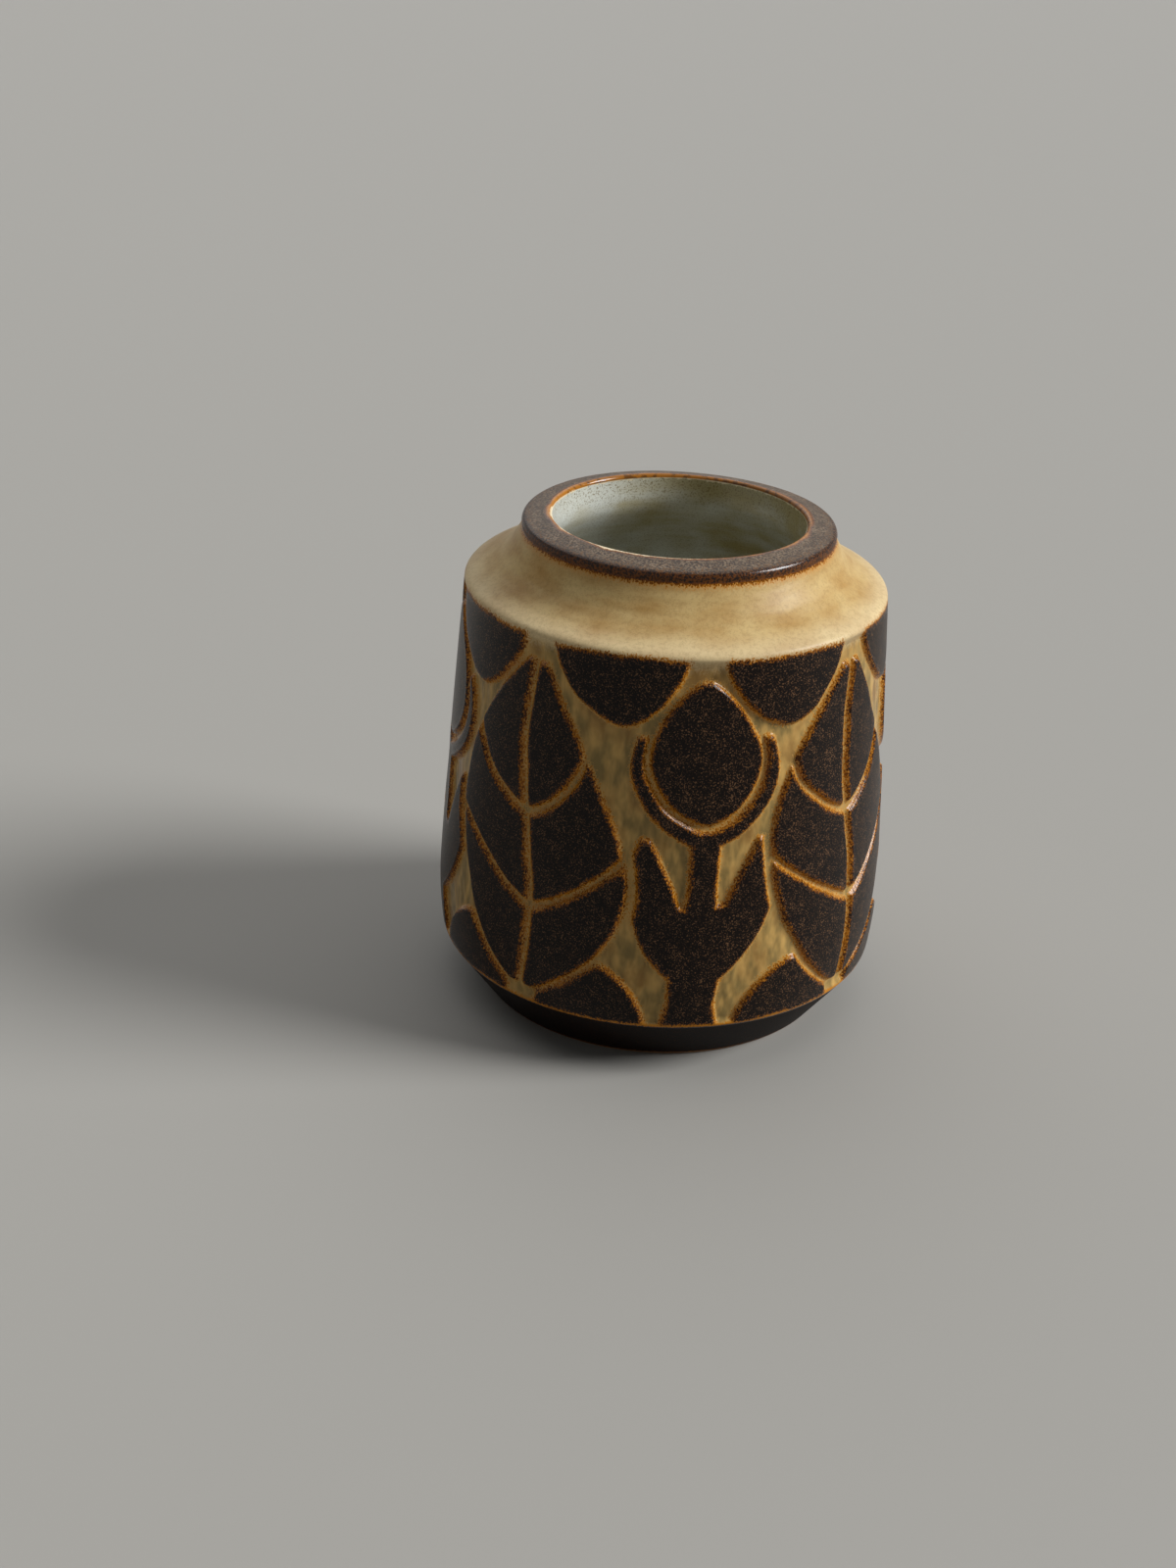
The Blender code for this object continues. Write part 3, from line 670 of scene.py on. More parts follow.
class Skin:
    """The carved and glazed outside as a function of the angle and of the station on its line."""

    # Roundings of the carving's upper and lower edges, and lengths over which it fades at the wall's ends
    CREST, TOE = 0.7 * MM, 1.1 * MM
    TOP_FADE, FOOT_FADE = 3.2 * MM, 2.0 * MM
    # Handwork: the drift of the outlines, gouges in the carving, rings on the shoulder and unevenness
    OUTLINE_DRIFT = 0.28 * MM
    GOUGE, GOUGE_DEPTH, GOUGE_LEAN, GOUGE_WANDER = 4.6 * MM, 0.03 * MM, 0.35, 3.0
    RING, RING_DEPTH, RING_WANDER = 3.4 * MM, 0.018 * MM, 0.8
    RING_TOP_FADE, RING_EDGE_FADE = 3 * MM, 4 * MM
    ROUNDNESS, ROUND_WAVES = 0.10 * MM, (2, 3, 4)
    ALONG_SEED, UP_SEED, GOUGE_SEED, RING_SEED, ROUND_SEED = range(11, 16)
    # Distance to the places beside a spot that give its normal
    PROBE = 0.12 * MM

    def __init__(self, scene):
        self.profile = scene.vase_profile
        self.frieze = scene.vase_frieze
        self.line = OuterLine(self.profile)
        self.carving = Carving(self.profile, self.frieze)

    def up(self, station):
        """Height on the flat frieze; beyond the wall's ends it goes on by the line's length."""
        line = self.line
        height = line.point(station)[..., 1]
        above = line.shoulder_height + line.shoulder_edge - station
        below = self.profile.foot_line + line.foot_line - station
        height = np.where(station > line.foot_line, below, height)
        return np.where(station < line.shoulder_edge, above, height)

    def along(self, angle):
        """Distance round the flat frieze."""
        return (angle - self.frieze.turn) * self.profile.belly_radius

    def inside(self, angle, station):
        """Distance inside the dark fields, with each outline drifting a little from its neighbours."""
        up = self.up(station)
        along = self.along(angle) + wander(angle, up, self.OUTLINE_DRIFT, self.ALONG_SEED)
        return self.carving.inside(along, up + wander(angle, up, self.OUTLINE_DRIFT, self.UP_SEED))

    def carved(self, angle, station):
        """0 on the fields and off the wall, 1 on the floor of the carving."""
        line = self.line
        below_top = smooth(station - line.shoulder_edge, -0.2 * self.TOP_FADE, 0.8 * self.TOP_FADE)
        above_foot = smooth(line.foot_line - station, 0, self.FOOT_FADE)
        floor = 1 - smooth(self.inside(angle, station), -self.TOE, self.CREST)
        return floor * below_top * above_foot

    def depth(self, angle, station):
        """How far the surface lies behind the turned line: carving, tool marks, rings and unevenness."""
        line = self.line
        up = self.up(station)
        floor = self.carved(angle, station)
        phase = TURN * self.along(angle) / self.GOUGE + self.GOUGE_LEAN * TURN * up / self.GOUGE
        phase = phase + wander(angle, up, self.GOUGE_WANDER, self.GOUGE_SEED)
        wide = smooth(-self.inside(angle, station), self.TOE, 2.2 * self.TOE)
        gouges = self.GOUGE_DEPTH * floor * wide * np.sin(phase)
        below_neck = smooth(station, line.neck, line.neck + self.RING_TOP_FADE)
        above_edge = 1 - smooth(station, line.shoulder_edge - self.RING_EDGE_FADE, line.shoulder_edge)
        phase = TURN * station / self.RING + wander(angle, up, self.RING_WANDER, self.RING_SEED)
        rings = self.RING_DEPTH * below_neck * above_edge * np.sin(phase)
        uneven = wander(angle, up, self.ROUNDNESS, self.ROUND_SEED, self.ROUND_WAVES)
        return self.profile.relief * floor + gouges + rings + uneven

    def place(self, angle, station):
        point = self.line.point(station)
        normal = self.line.normal(station)
        depth = self.depth(angle, station)
        radius = point[..., 0] - depth * normal[..., 0]
        height = point[..., 1] - depth * normal[..., 1]
        return np.stack([radius * np.cos(angle), radius * np.sin(angle), height], -1)

    def facing(self, angle, station):
        turn = self.PROBE / self.profile.belly_radius
        low = np.maximum(station - self.PROBE, 0)
        high = np.minimum(station + self.PROBE, self.line.end)
        down = self.place(angle, high) - self.place(angle, low)
        around = self.place(angle + turn, station) - self.place(angle - turn, station)
        normal = np.cross(down, around)
        return normal / np.linalg.norm(normal, axis=-1, keepdims=True)

    def back(self, angle, station, thickness):
        """The hidden side of a glaze layer, behind the deepest carving."""
        point = self.line.point(station) - thickness * self.line.normal(station)
        return np.stack([point[..., 0] * np.cos(angle), point[..., 0] * np.sin(angle), point[..., 1]], -1)


# Meshes


# Parts of the bake map: the strip for hidden faces, and the margin inside each strip
HIDDEN_STRIP, STRIP_EDGE = 0.04, 0.01
HIDDEN_ROWS = 10
SHARP = math.radians(50)


def add_piece(name, points, faces, material, replaced):
    mesh = bpy.data.meshes.new(name)
    mesh.from_pydata(points.tolist(), [], faces)
    mesh.materials.append(material)
    mesh.shade_smooth()
    piece = bpy.data.objects.new(name, mesh)
    bpy.context.collection.objects.link(piece)
    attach(piece, BODY)
    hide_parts(*replaced)
    return piece


def add_attribute(mesh, name, values):
    values = np.asarray(values, np.float32).ravel()
    padded = np.zeros(len(mesh.vertices), np.float32)
    padded[: len(values)] = values
    mesh.attributes.new(name, "FLOAT", "POINT").data.foreach_set("value", padded)


def grid_faces(index):
    """Corner numbers of the faces of a grid of points."""
    return np.stack([index[:-1, :-1], index[1:, :-1], index[1:, 1:], index[:-1, 1:]], -1).reshape(-1, 4)


def add_bake_map(mesh, across, up, strips):
    """Lays the shown faces out in strips for baking, and all others below them in a narrow one. The shown
    faces are the first, in a grid that lies at these shares of its width and height."""
    shares = np.meshgrid(across, up)
    spots = grid_faces(np.arange(shares[0].size).reshape(shares[0].shape))
    across, up = (values.ravel()[spots] for values in shares)
    places = np.array([vertex.co[:] for vertex in mesh.vertices])
    corners = np.empty(len(mesh.loops), np.int32)
    mesh.loops.foreach_get("vertex_index", corners)
    low, high = places.min(0), places.max(0)
    laid = ((places - low) / (high - low))[corners][:, [0, 2]]
    laid[:, 1] *= HIDDEN_STRIP - STRIP_EDGE
    turns = strips * across
    strip = np.floor(turns.mean(1, keepdims=True))
    up = STRIP_EDGE + (1 - 2 * STRIP_EDGE) * up
    laid[: across.size, 0] = (turns - strip).ravel()
    laid[: across.size, 1] = (HIDDEN_STRIP + (1 - HIDDEN_STRIP) * (strip + up) / strips).ravel()
    mesh.uv_layers.new(name="OFBake").uv.foreach_set("vector", laid.astype(np.float32).ravel())


def skin_piece(name, skin, columns, stations, thickness, material, replaced):
    """A closed piece of the outer skin. Columns are angles; a full turn of them leaves out the last."""
    whole_turn = np.ptp(columns) > TURN - TURN / 100
    angle, station = np.meshgrid(columns, stations)
    hidden = stations[:: max(1, len(stations) // HIDDEN_ROWS)]
    hidden = np.append(hidden[:-1], stations[-1])
    back_angle, back_station = np.meshgrid(columns, hidden)
    front = skin.place(angle, station)
    back = skin.back(back_angle, back_station, thickness)
    rows, count = angle.shape
    front_index = np.arange(rows * count).reshape(rows, count)
    back_index = rows * count + np.arange(len(hidden) * count).reshape(len(hidden), count)
    if whole_turn:
        front_index = np.concatenate([front_index, front_index[:, :1]], 1)
        back_index = np.concatenate([back_index, back_index[:, :1]], 1)

    front_faces = grid_faces(front_index)
    top = grid_faces(np.stack([back_index[0], front_index[0]]))
    bottom = grid_faces(np.stack([front_index[-1], back_index[-1]]))
    faces = [*front_faces.tolist(), *grid_faces(back_index[::-1]).tolist(), *top.tolist(), *bottom.tolist()]
    if not whole_turn:
        faces.append([*back_index[:, 0].tolist(), *front_index[::-1, 0].tolist()])
        faces.append([*front_index[:, -1].tolist(), *back_index[::-1, -1].tolist()])
    points = np.concatenate([front.reshape(-1, 3), back.reshape(-1, 3)])
    piece = add_piece(name, points, faces, material, replaced)
    mesh = piece.data
    normals = np.zeros((len(mesh.loops), 3))
    facing = skin.facing(angle, station).reshape(-1, 3)
    normals[: front_faces.size] = facing[front_faces.ravel()]
    mesh.normals_split_custom_set(normals.tolist())
    across = np.linspace(0, 1, front_index.shape[1])
    up = (stations[-1] - stations) / np.ptp(stations)
    add_bake_map(mesh, across, up, skin.frieze.repeats if whole_turn else 1)
    line = skin.line
    add_attribute(mesh, "inside_field", skin.inside(angle, station) / MM)
    add_attribute(mesh, "below_lip", (station - line.neck) / MM)
    add_attribute(mesh, "below_edge", (station - line.shoulder_edge) / MM)
    add_attribute(mesh, "above_foot", (line.foot_line - station) / MM)
    return piece


def turned_piece(name, line, segments, material, replaced):
    """A closed solid turned from a line that starts and ends on the axis, with the solid on its right."""
    ring = np.arange(segments) * TURN / segments
    middle = line[1:-1]
    angle, radius = np.meshgrid(ring, middle[:, 0])
    height = np.repeat(middle[:, 1:], segments, 1)
    points = np.stack([radius * np.cos(angle), radius * np.sin(angle), height], -1).reshape(-1, 3)
    index = np.arange(len(points)).reshape(len(middle), segments)
    index = np.concatenate([index, index[:, :1]], 1)
    faces = grid_faces(index)
    first, last = len(points), len(points) + 1
    caps = [[first, index[0, at], index[0, at + 1]] for at in range(segments)]
    caps += [[last, index[-1, at + 1], index[-1, at]] for at in range(segments)]
    points = np.concatenate([points, [(0, 0, line[0, 1]), (0, 0, line[-1, 1])]])
    faces = faces.tolist() + [[int(corner) for corner in cap] for cap in caps]
    piece = add_piece(name, points, faces, material, replaced)
    piece.data.set_sharp_from_angle(angle=SHARP)
    along = distances(middle)
    add_bake_map(piece.data, np.linspace(0, 1, segments + 1), 1 - along / along[-1], 1)
    return piece


# Materials


CERAMIC_IOR = 1.5
SMOOTH = {"interpolation_type": "SMOOTHSTEP"}
COLOUR = {"data_type": "RGBA"}
TIMES = {"operation": "MULTIPLY"}
TIMES_PLUS = {"operation": "MULTIPLY_ADD"}
# The real specks are about 0.2 mm across outside and 0.3 mm inside, too fine to show, so they are drawn as
# coarse as they need to be
SPECK, LINER_SPECK = 0.4 * MM, 0.5 * MM
# Directions across the mouth towards its lit side, the front left, where the glazes are painted paler as
# painted light and, on the far side, darker as painted shade. Times a place on the mouth's edge, each gives
# about 1 on its own side and -1 on the far one.
LIP_LIT_SIDE = (-9, -26, 0)
LINER_LIT_SIDE = (-24, -12, 0)


def fill(tree, socket, value):
    """Links an output to a socket, or sets the socket to a number or a linear colour."""
    if isinstance(value, bpy.types.NodeSocket):
        tree.links.new(value, socket)
    elif socket.type == "RGBA":
        socket.default_value = (*value, 1)
    else:
        socket.default_value = value


def add_node(tree, kind, inputs=(), give=None, **settings):
    """Adds a node, sets its options, fills its inputs, by their order or names, and gives one output."""
    made = tree.nodes.new("ShaderNode" + kind)
    for option, value in settings.items():
        setattr(made, option, value)
    sockets = [socket for socket in made.inputs if socket.enabled]
    if isinstance(inputs, dict):
        sockets = [next(socket for socket in sockets if socket.name == name) for name in inputs]
        inputs = inputs.values()
    for socket, value in zip(sockets, inputs):
        fill(tree, socket, value)
    return next(socket for socket in made.outputs if socket.enabled and give in (None, socket.name))


class Finish:
    """A material under construction: its tree, its coordinates and the patterns that its layers share."""

    def __init__(self, name):
        self.material = bpy.data.materials.new(name)
        self.material.use_nodes = True
        self.tree = self.material.node_tree
        self.shader = self.tree.nodes["Principled BSDF"]
        self.place = self.add("TexCoord", give="Object")

    def add(self, kind, inputs=(), **options):
        return add_node(self.tree, kind, inputs, **options)

    def grain(self, size, detail=2, stretch=(1, 1, 1), roughness=0.5):
        """Noise with features of a real size, drawn out along an axis by its stretch."""
        scale = tuple(1 / (size * s) for s in stretch)
        spot = self.add("VectorMath", (self.place, scale), **TIMES)
        inputs = {"Vector": spot, "Scale": 1.0, "Detail": detail, "Roughness": roughness}
        return self.add("TexNoise", inputs, give="Fac")

    def push(self, grain, reach):
        """Turns noise into an uneven push of a border, in millimetres either way."""
        return self.add("Math", (grain, reach, -reach / 2), **TIMES_PLUS)

    def ragged(self, size, reach):
        """A fine push, which frays the borders between glazes."""
        return self.push(self.grain(size, 4, (1, 1, 1.3), 0.6), reach)

    def over(self, below, above, value, start, end, most=1):
        """Lays one colour over another as a value goes from start to end, by a share or mask at most."""
        share = self.add("MapRange", (value, start, end, 0, most), **SMOOTH)
        return self.add("Mix", (share, below, above), **COLOUR)

    def done(self, colour, roughness, height=None, relief=0, specular=0.5):
        """Fills the shader. The height, if there is one, stands out by the relief, in metres. A dark glaze
        full of iron crystals mirrors less than glass, so its specular level is lower."""
        values = {
            "Base Color": colour,
            "Roughness": roughness,
            "IOR": CERAMIC_IOR,
            "Specular IOR Level": specular,
        }
        if height is not None:
            values["Normal"] = self.add("Bump", {"Height": height, "Distance": relief}, give="Normal")
        for name, value in values.items():
            fill(self.tree, self.shader.inputs[name], value)
        return self.material


def stoneware(colours):
    """Fired stoneware, wiped and unglazed: a dry, gritty, warm brown with darker iron grains."""
    f = Finish("fired_stoneware")
    darker = tuple(0.7 * channel for channel in colours.clay)
    body = f.over(colours.clay, darker, f.grain(9 * MM, 3), 0.3, 0.7)
    body = f.over(body, colours.umber, f.grain(0.5 * MM, 2), 0.62, 0.72, 0.7)
    return f.done(body, 0.85, f.grain(0.6 * MM, 3), 0.06 * MM)


def liner_glaze(colours):
    """Pale grey-green feldspar glaze, a pour inside: glassy, with clouds, throwing rings and fine specks,
    painted palest at the front left as painted light, and khaki where it ran thin under the mouth, mostly at
    the back right as painted shade."""
    f = Finish("poured_feldspar_glaze")
    add = f.add
    rings = f.grain(5 * MM, 3, (8, 8, 1))
    # Towards the lit side, the front left: the liner is painted paler there as painted light, and shows more
    # of its thin tone on the back right as painted shade
    toward_lit_side = add("VectorMath", (f.place, LINER_LIT_SIDE), give="Value", operation="DOT_PRODUCT")
    paler = add("MapRange", (toward_lit_side, -1, 1, -0.15, 0.5), **SMOOTH)
    clouds = add("Math", (rings, add("Math", (f.grain(14 * MM, 2), paler))))
    body = f.over(colours.liner_thin_and_painted_shade, colours.liner, clouds, 0.45, 1.45)

    below_mouth = add("Attribute", attribute_name="below_mouth", give="Fac")
    thin = add("MapRange", (add("Math", (below_mouth, f.ragged(6 * MM, 8))), 1, 9, 1, 0), **SMOOTH)
    # Khaki where the glaze is thin under the mouth, weighted to the back right as painted shade
    khaki = add("Math", (thin, add("MapRange", (toward_lit_side, -0.8, 0.3, 0.8, 0.1), **SMOOTH)), **TIMES)
    body = add("Mix", (khaki, body, colours.liner_thin_and_painted_shade), **COLOUR)
    speckled = add("Mix", (thin, 0.35, 0.75))
    body = f.over(body, colours.liner_speck, f.grain(LINER_SPECK, 3), 0.5, 0.66, speckled)
    edge = add("Math", (below_mouth, f.ragged(1.2 * MM, 2)))
    body = f.over(colours.cream, body, edge, 0, 0.6)
    return f.done(body, 0.14, rings, 0.12 * MM)


def lip_glaze(colours):
    """Iron glaze on the lip: grey-brown and grained where it cooled dry, glassy and near black on the side,
    and thin round the mouth, where a cream line widens at the front left as a painted highlight, and rust
    with near black patches at the back right is partly painted shade."""
    f = Finish("iron_glaze_on_the_lip")
    add = f.add
    fine = f.grain(0.6 * MM, 4)
    ragged = f.ragged(0.5 * MM, 4)
    below_lip = add("Math", (add("Attribute", attribute_name="below_lip", give="Fac"), ragged))

    # Dry top, darker and flecked towards its outer edge
    cloud = add("MapRange", (f.grain(5 * MM, 3), 0.3, 0.7, 0.4, 0.9), **SMOOTH)
    top = f.over(colours.lip, colours.lip_speck, fine, 0.44, 0.6, cloud)
    top = f.over(top, colours.lip_side, below_lip, -4.5, -2.5, 0.6)
    flecked = add("MapRange", (below_lip, -6.5, -3.2, 0.25, 1), **SMOOTH)
    top = f.over(top, colours.umber, f.grain(0.8 * MM, 3), 0.52, 0.6, flecked)

    # Glassy side, streaked with rust and breaking to it at the bottom
    low = add("MapRange", (below_lip, -2.8, -0.8, 0.5, 1), **SMOOTH)
    streaked = f.over(colours.lip_side, colours.rust, fine, 0.44, 0.56, low)
    streaked = f.over(streaked, colours.rust, below_lip, -0.5, 0.4)
    side = add("MapRange", (below_lip, -3.7, -2.3), **SMOOTH)
    body = add("Mix", (side, top, streaked), **COLOUR)

    # Bands of rust, amber and cream round the mouth, from the outermost in
    from_mouth = add("Attribute", attribute_name="from_mouth", give="Fac")
    from_mouth = add("Math", (from_mouth, f.push(f.grain(9 * MM, 3), 3)))
    from_mouth = add("Math", (ragged, 0.4, from_mouth), **TIMES_PLUS)
    # Towards the lit side, the front left: the cream line widens there as a painted highlight, and the amber
    # turns to rust with near black patches on the back right as painted shade
    toward_lit_side = add("VectorMath", (f.place, LIP_LIT_SIDE), give="Value", operation="DOT_PRODUCT")
    body = f.over(colours.rust, body, from_mouth, 1.9, 2.8)
    # Amber turning to rust, with near black patches, on the back right: painted shade over the real rust
    burnt = f.over(colours.amber, colours.rust, toward_lit_side, 0.3, -0.7, 0.45)
    dark_patches_in_painted_shade = add("MapRange", (toward_lit_side, 0.4, -0.5, 0, 0.6), **SMOOTH)
    burnt = f.over(burnt, colours.lip_side, f.grain(2.5 * MM, 3), 0.5, 0.62, dark_patches_in_painted_shade)
    body = f.over(burnt, body, from_mouth, 1.2, 2.2)
    # Thin cream line round the mouth, widened at the front left as a painted highlight
    cream_and_painted_highlight = add("Math", (toward_lit_side, -1.5, from_mouth), **TIMES_PLUS)
    body = f.over(colours.cream, body, cream_and_painted_highlight, -0.3, 0.3)

    dry = add("MapRange", (from_mouth, 1.9, 3, 0.12, 0.42), **SMOOTH)
    glassy = add("MapRange", (below_lip, -2.4, -1.2, 0.15, 0.5), **SMOOTH)
    return f.done(body, add("Mix", (side, dry, glassy)), fine, 0.04 * MM, 0.3)


def wall_glaze(colours):
    """Dark iron glaze over an ochre one, fired together: satin and speckled on the raised fields, broken to
    rust on their edges, pooled olive on the floor of the carving, and tan on the shoulder."""
    f = Finish("iron_glaze_over_ochre")
    add = f.add
    ragged = f.ragged(0.5 * MM, 5.5)
    uneven = f.push(f.grain(5 * MM, 2), 1.6)
    inside, below_edge, above_foot, below_lip = (
        add("Attribute", attribute_name=name, give="Fac")
        for name in ("inside_field", "below_edge", "above_foot", "below_lip")
    )
    inside = add("Math", (inside, ragged))
    below_lip = add("Math", (below_lip, ragged))
    fine = f.grain(SPECK, 3)

    # Floor of the carving, with streaks that ran down it, and its slopes
    streaks = f.grain(3 * MM, 2, (1, 1, 2.5))
    clouds = f.grain(8 * MM, 3, (1, 1, 1.5))
    floor = f.over(colours.pool, colours.ochre, add("Math", (streaks, clouds)), 0.75, 1.25)
    floor = f.over(floor, colours.umber, clouds, 0.45, 0.7, 0.65)
    ground = f.over(floor, colours.ochre, inside, -1.3, -0.8, 0.85)

    # Shoulder, banded by the wheel and thinner towards its edge
    bands = f.grain(4 * MM, 3, (4, 4, 1))
    drift = f.grain(16 * MM, 3)
    shoulder = f.over(colours.shade, colours.tan, add("Math", (bands, drift)), 0.6, 1.4)
    thin = add("Math", (drift, 5, below_edge), **TIMES_PLUS)
    shoulder = f.over(shoulder, colours.cream, thin, -8, 1, 0.4)
    motes = add("Math", (fine, f.grain(1.2 * MM, 2)))
    shoulder = f.over(shoulder, colours.umber, motes, 0.9, 1.25, 0.2)
    on_wall = add("MapRange", (add("Math", (below_edge, ragged)), -0.5, 4.5), **SMOOTH)
    ground = add("Mix", (on_wall, shoulder, ground), **COLOUR)

    # Raised fields, speckled iron inside a border of amber and rust
    burnt = add("Math", (inside, uneven))
    body = f.over(ground, colours.amber, inside, -1.1, -0.35)
    body = f.over(body, colours.rust, burnt, -0.45, 0.3)
    specks = add("Math", (f.grain(3 * MM, 2), 0.2, fine), **TIMES_PLUS)
    iron = f.over(colours.dark, colours.speck, specks, 0.64, 0.78, 0.7)
    dark = add("MapRange", (burnt, 0.3, 0.75), **SMOOTH)
    body = add("Mix", (dark, body, iron), **COLOUR)

    # Edge over the foot
    above_foot = add("Math", (add("Math", (ragged, uneven)), 0.4, above_foot), **TIMES_PLUS)
    worn = add("Mix", (dark, colours.amber, colours.rust), **COLOUR)
    body = f.over(body, worn, above_foot, 1, 0.2)
    foot = add("MapRange", (above_foot, -0.1, -0.6), **SMOOTH)
    body = add("Mix", (foot, body, colours.dark), **COLOUR)

    # Borders under the lip, from the outermost in
    warm = add("Mix", (0.5, colours.amber, colours.tan), **COLOUR)
    for tone, start, end in ((warm, 1.2, 2.4), (colours.amber, 0.6, 1.3), (colours.rust, 0.1, 0.8)):
        body = f.over(tone, body, below_lip, start, end)

    # Gloss: satin inside the fields and on the shoulder, glassier at the fields' edges, in the carving and
    # right under the lip
    matt = add("Math", (dark, foot), operation="MAXIMUM")
    satin = add("MapRange", (inside, 0.3, 2.2, 0.15, 0.34), **SMOOTH)
    rough = add("Mix", (matt, add("Mix", (on_wall, 0.38, 0.18)), satin))
    rough = add("MapRange", (below_lip, 0.2, 1, 0.14, rough), **SMOOTH)
    grit = add("Math", (fine, add("Mix", (matt, 0.5, 1))), **TIMES)
    height = add("Math", (clouds, 0.6, grit), **TIMES_PLUS)
    return f.done(body, rough, height, 0.06 * MM, 0.16)


def foot_glaze(colours):
    """The same dark iron glaze where it is thin and dry on the sloping foot: matt, near black, hardly
    speckled, and rust above the bare ring."""
    f = Finish("dry_iron_glaze")
    fine = f.grain(SPECK, 3)
    body = f.over(colours.dark, colours.rust, fine, 0.58, 0.75, 0.5)
    above_table = f.add("Attribute", attribute_name="above_table", give="Fac")
    above_table = f.add("Math", (above_table, f.ragged(0.8 * MM, 2)))
    body = f.over(colours.rust, body, above_table, 0.3, 0.9)
    return f.done(body, 0.6, fine, 0.04 * MM, 0.12)


def plain_floor(colours):
    """A plain, pale and matt floor."""
    return Finish("pale_floor").done(colours.floor, 0.7)


# Operators


def shared(name, make):
    """The material of this name, made on first use."""
    return bpy.data.materials.get(name) or make(bpy.context.scene.vase_glazes)


SKINS = {}


def skin_of(scene):
    """The outer skin, measured once in a run."""
    if "skin" not in SKINS:
        SKINS["skin"] = Skin(scene)
    return SKINS["skin"]


# Columns in each repeat of the frieze, segments of the turned pieces, and spaces between rows
COLUMNS = 256
BODY_SEGMENTS, LINER_SEGMENTS = 192, 288
TOP_ROWS, WALL_ROWS, FOOT_ROWS = 0.8 * MM, 0.45 * MM, 0.9 * MM


def whole_turn(skin):
    """Angles round the vase that meet those of the wall's quarters."""
    count = COLUMNS * skin.frieze.repeats
    return skin.frieze.turn + np.arange(count) * TURN / count


def ring_piece(name, skin, stations, material, node):
    """A glaze layer that goes round the whole vase."""
    return skin_piece(name, skin, whole_turn(skin), stations, skin.profile.glaze, material, [node])


class VASE_OT_clay_body(Operator):
    """Throw the clay body, with its foot ring and recess"""

    bl_idname = "vase.clay_body"
    bl_label = "Clay Body"

    # The body is set back behind the carving between steps that lie inside the wall's edges
    ROWS, STEP = MM, 2 * MM
    CORNER_STEPS = 6

    def execute(self, context):
        s = context.scene.vase_profile
        outer = OuterLine(s)
        under_glaze = s.glaze + s.gap
        set_back = s.relief + under_glaze
        ring_inner = s.foot_radius - s.foot_ring
        edge = s.mouth_round / 2
        ring = np.concatenate(
            [
                [(0, s.recess), (ring_inner - s.recess, s.recess)],
                arc((ring_inner + edge, edge), edge, 200, 270, self.CORNER_STEPS),
                arc((s.foot_radius - edge, edge), edge, 270, 330, self.CORNER_STEPS),
                [outer.foot_end()],
            ]
        )

        def layer(start, end, spacing, depth):
            stations = outer.rows(start, end, spacing)[::-1]
            return outer.point(stations) - depth * outer.normal(stations)

        foot = layer(outer.foot_line - self.ROWS, outer.end - self.ROWS, self.ROWS, under_glaze)
        ends = (outer.shoulder_edge + self.STEP, outer.foot_line - self.STEP)
        wall = layer(*ends, self.STEP, set_back)
        lip = layer(0, outer.shoulder_edge - self.STEP, self.ROWS, under_glaze)
        inside = inner_line(s)
        inside = inside + under_glaze * outward(inside)
        inside[-1, 0] = 0
        line = np.concatenate([ring, foot, wall, lip, inside[1:]])[::-1]
        material = shared("fired_stoneware", stoneware)
        turned_piece("thrown_body", line, BODY_SEGMENTS, material, ["clay_body"])
        return {"FINISHED"}


class VASE_OT_liner(Operator):
    """Pour the pale glaze inside"""

    bl_idname = "vase.liner"
    bl_label = "Liner Glaze"

    def execute(self, context):
        s = context.scene.vase_profile
        inside = inner_line(s)
        inside[-1, 0] = 0
        back = inside + s.glaze * outward(inside)
        back[-1, 0] = 0
        line = np.concatenate([back[::-1], inside])[::-1]
        material = shared("poured_feldspar_glaze", liner_glaze)
        piece = turned_piece("poured_liner", line, LINER_SEGMENTS, material, ["liner_glaze"])
        heights = np.array([vertex.co.z for vertex in piece.data.vertices])
        add_attribute(piece.data, "below_mouth", (s.height - s.mouth_round - heights) / MM)
        return {"FINISHED"}


class VASE_OT_lip(Operator):
    """Glaze the lip"""

    bl_idname = "vase.lip"
    bl_label = "Lip Glaze"

    def execute(self, context):
        skin = skin_of(context.scene)
        stations = skin.line.rows(0, skin.line.neck, TOP_ROWS)
        material = shared("iron_glaze_on_the_lip", lip_glaze)
        piece = ring_piece("lip", skin, stations, material, "rim_glaze")
        from_mouth = np.repeat(stations, len(whole_turn(skin))) / MM
        add_attribute(piece.data, "from_mouth", from_mouth)
        return {"FINISHED"}


class VASE_OT_shoulder(Operator):
    """Glaze the shoulder"""

    bl_idname = "vase.shoulder"
    bl_label = "Shoulder Glaze"

    def execute(self, context):
        skin = skin_of(context.scene)
        line = skin.line
        stations = line.rows(line.neck, line.shoulder_edge, TOP_ROWS)
        material = shared("iron_glaze_over_ochre", wall_glaze)
        ring_piece("shoulder", skin, stations, material, "shoulder_glaze")
        return {"FINISHED"}


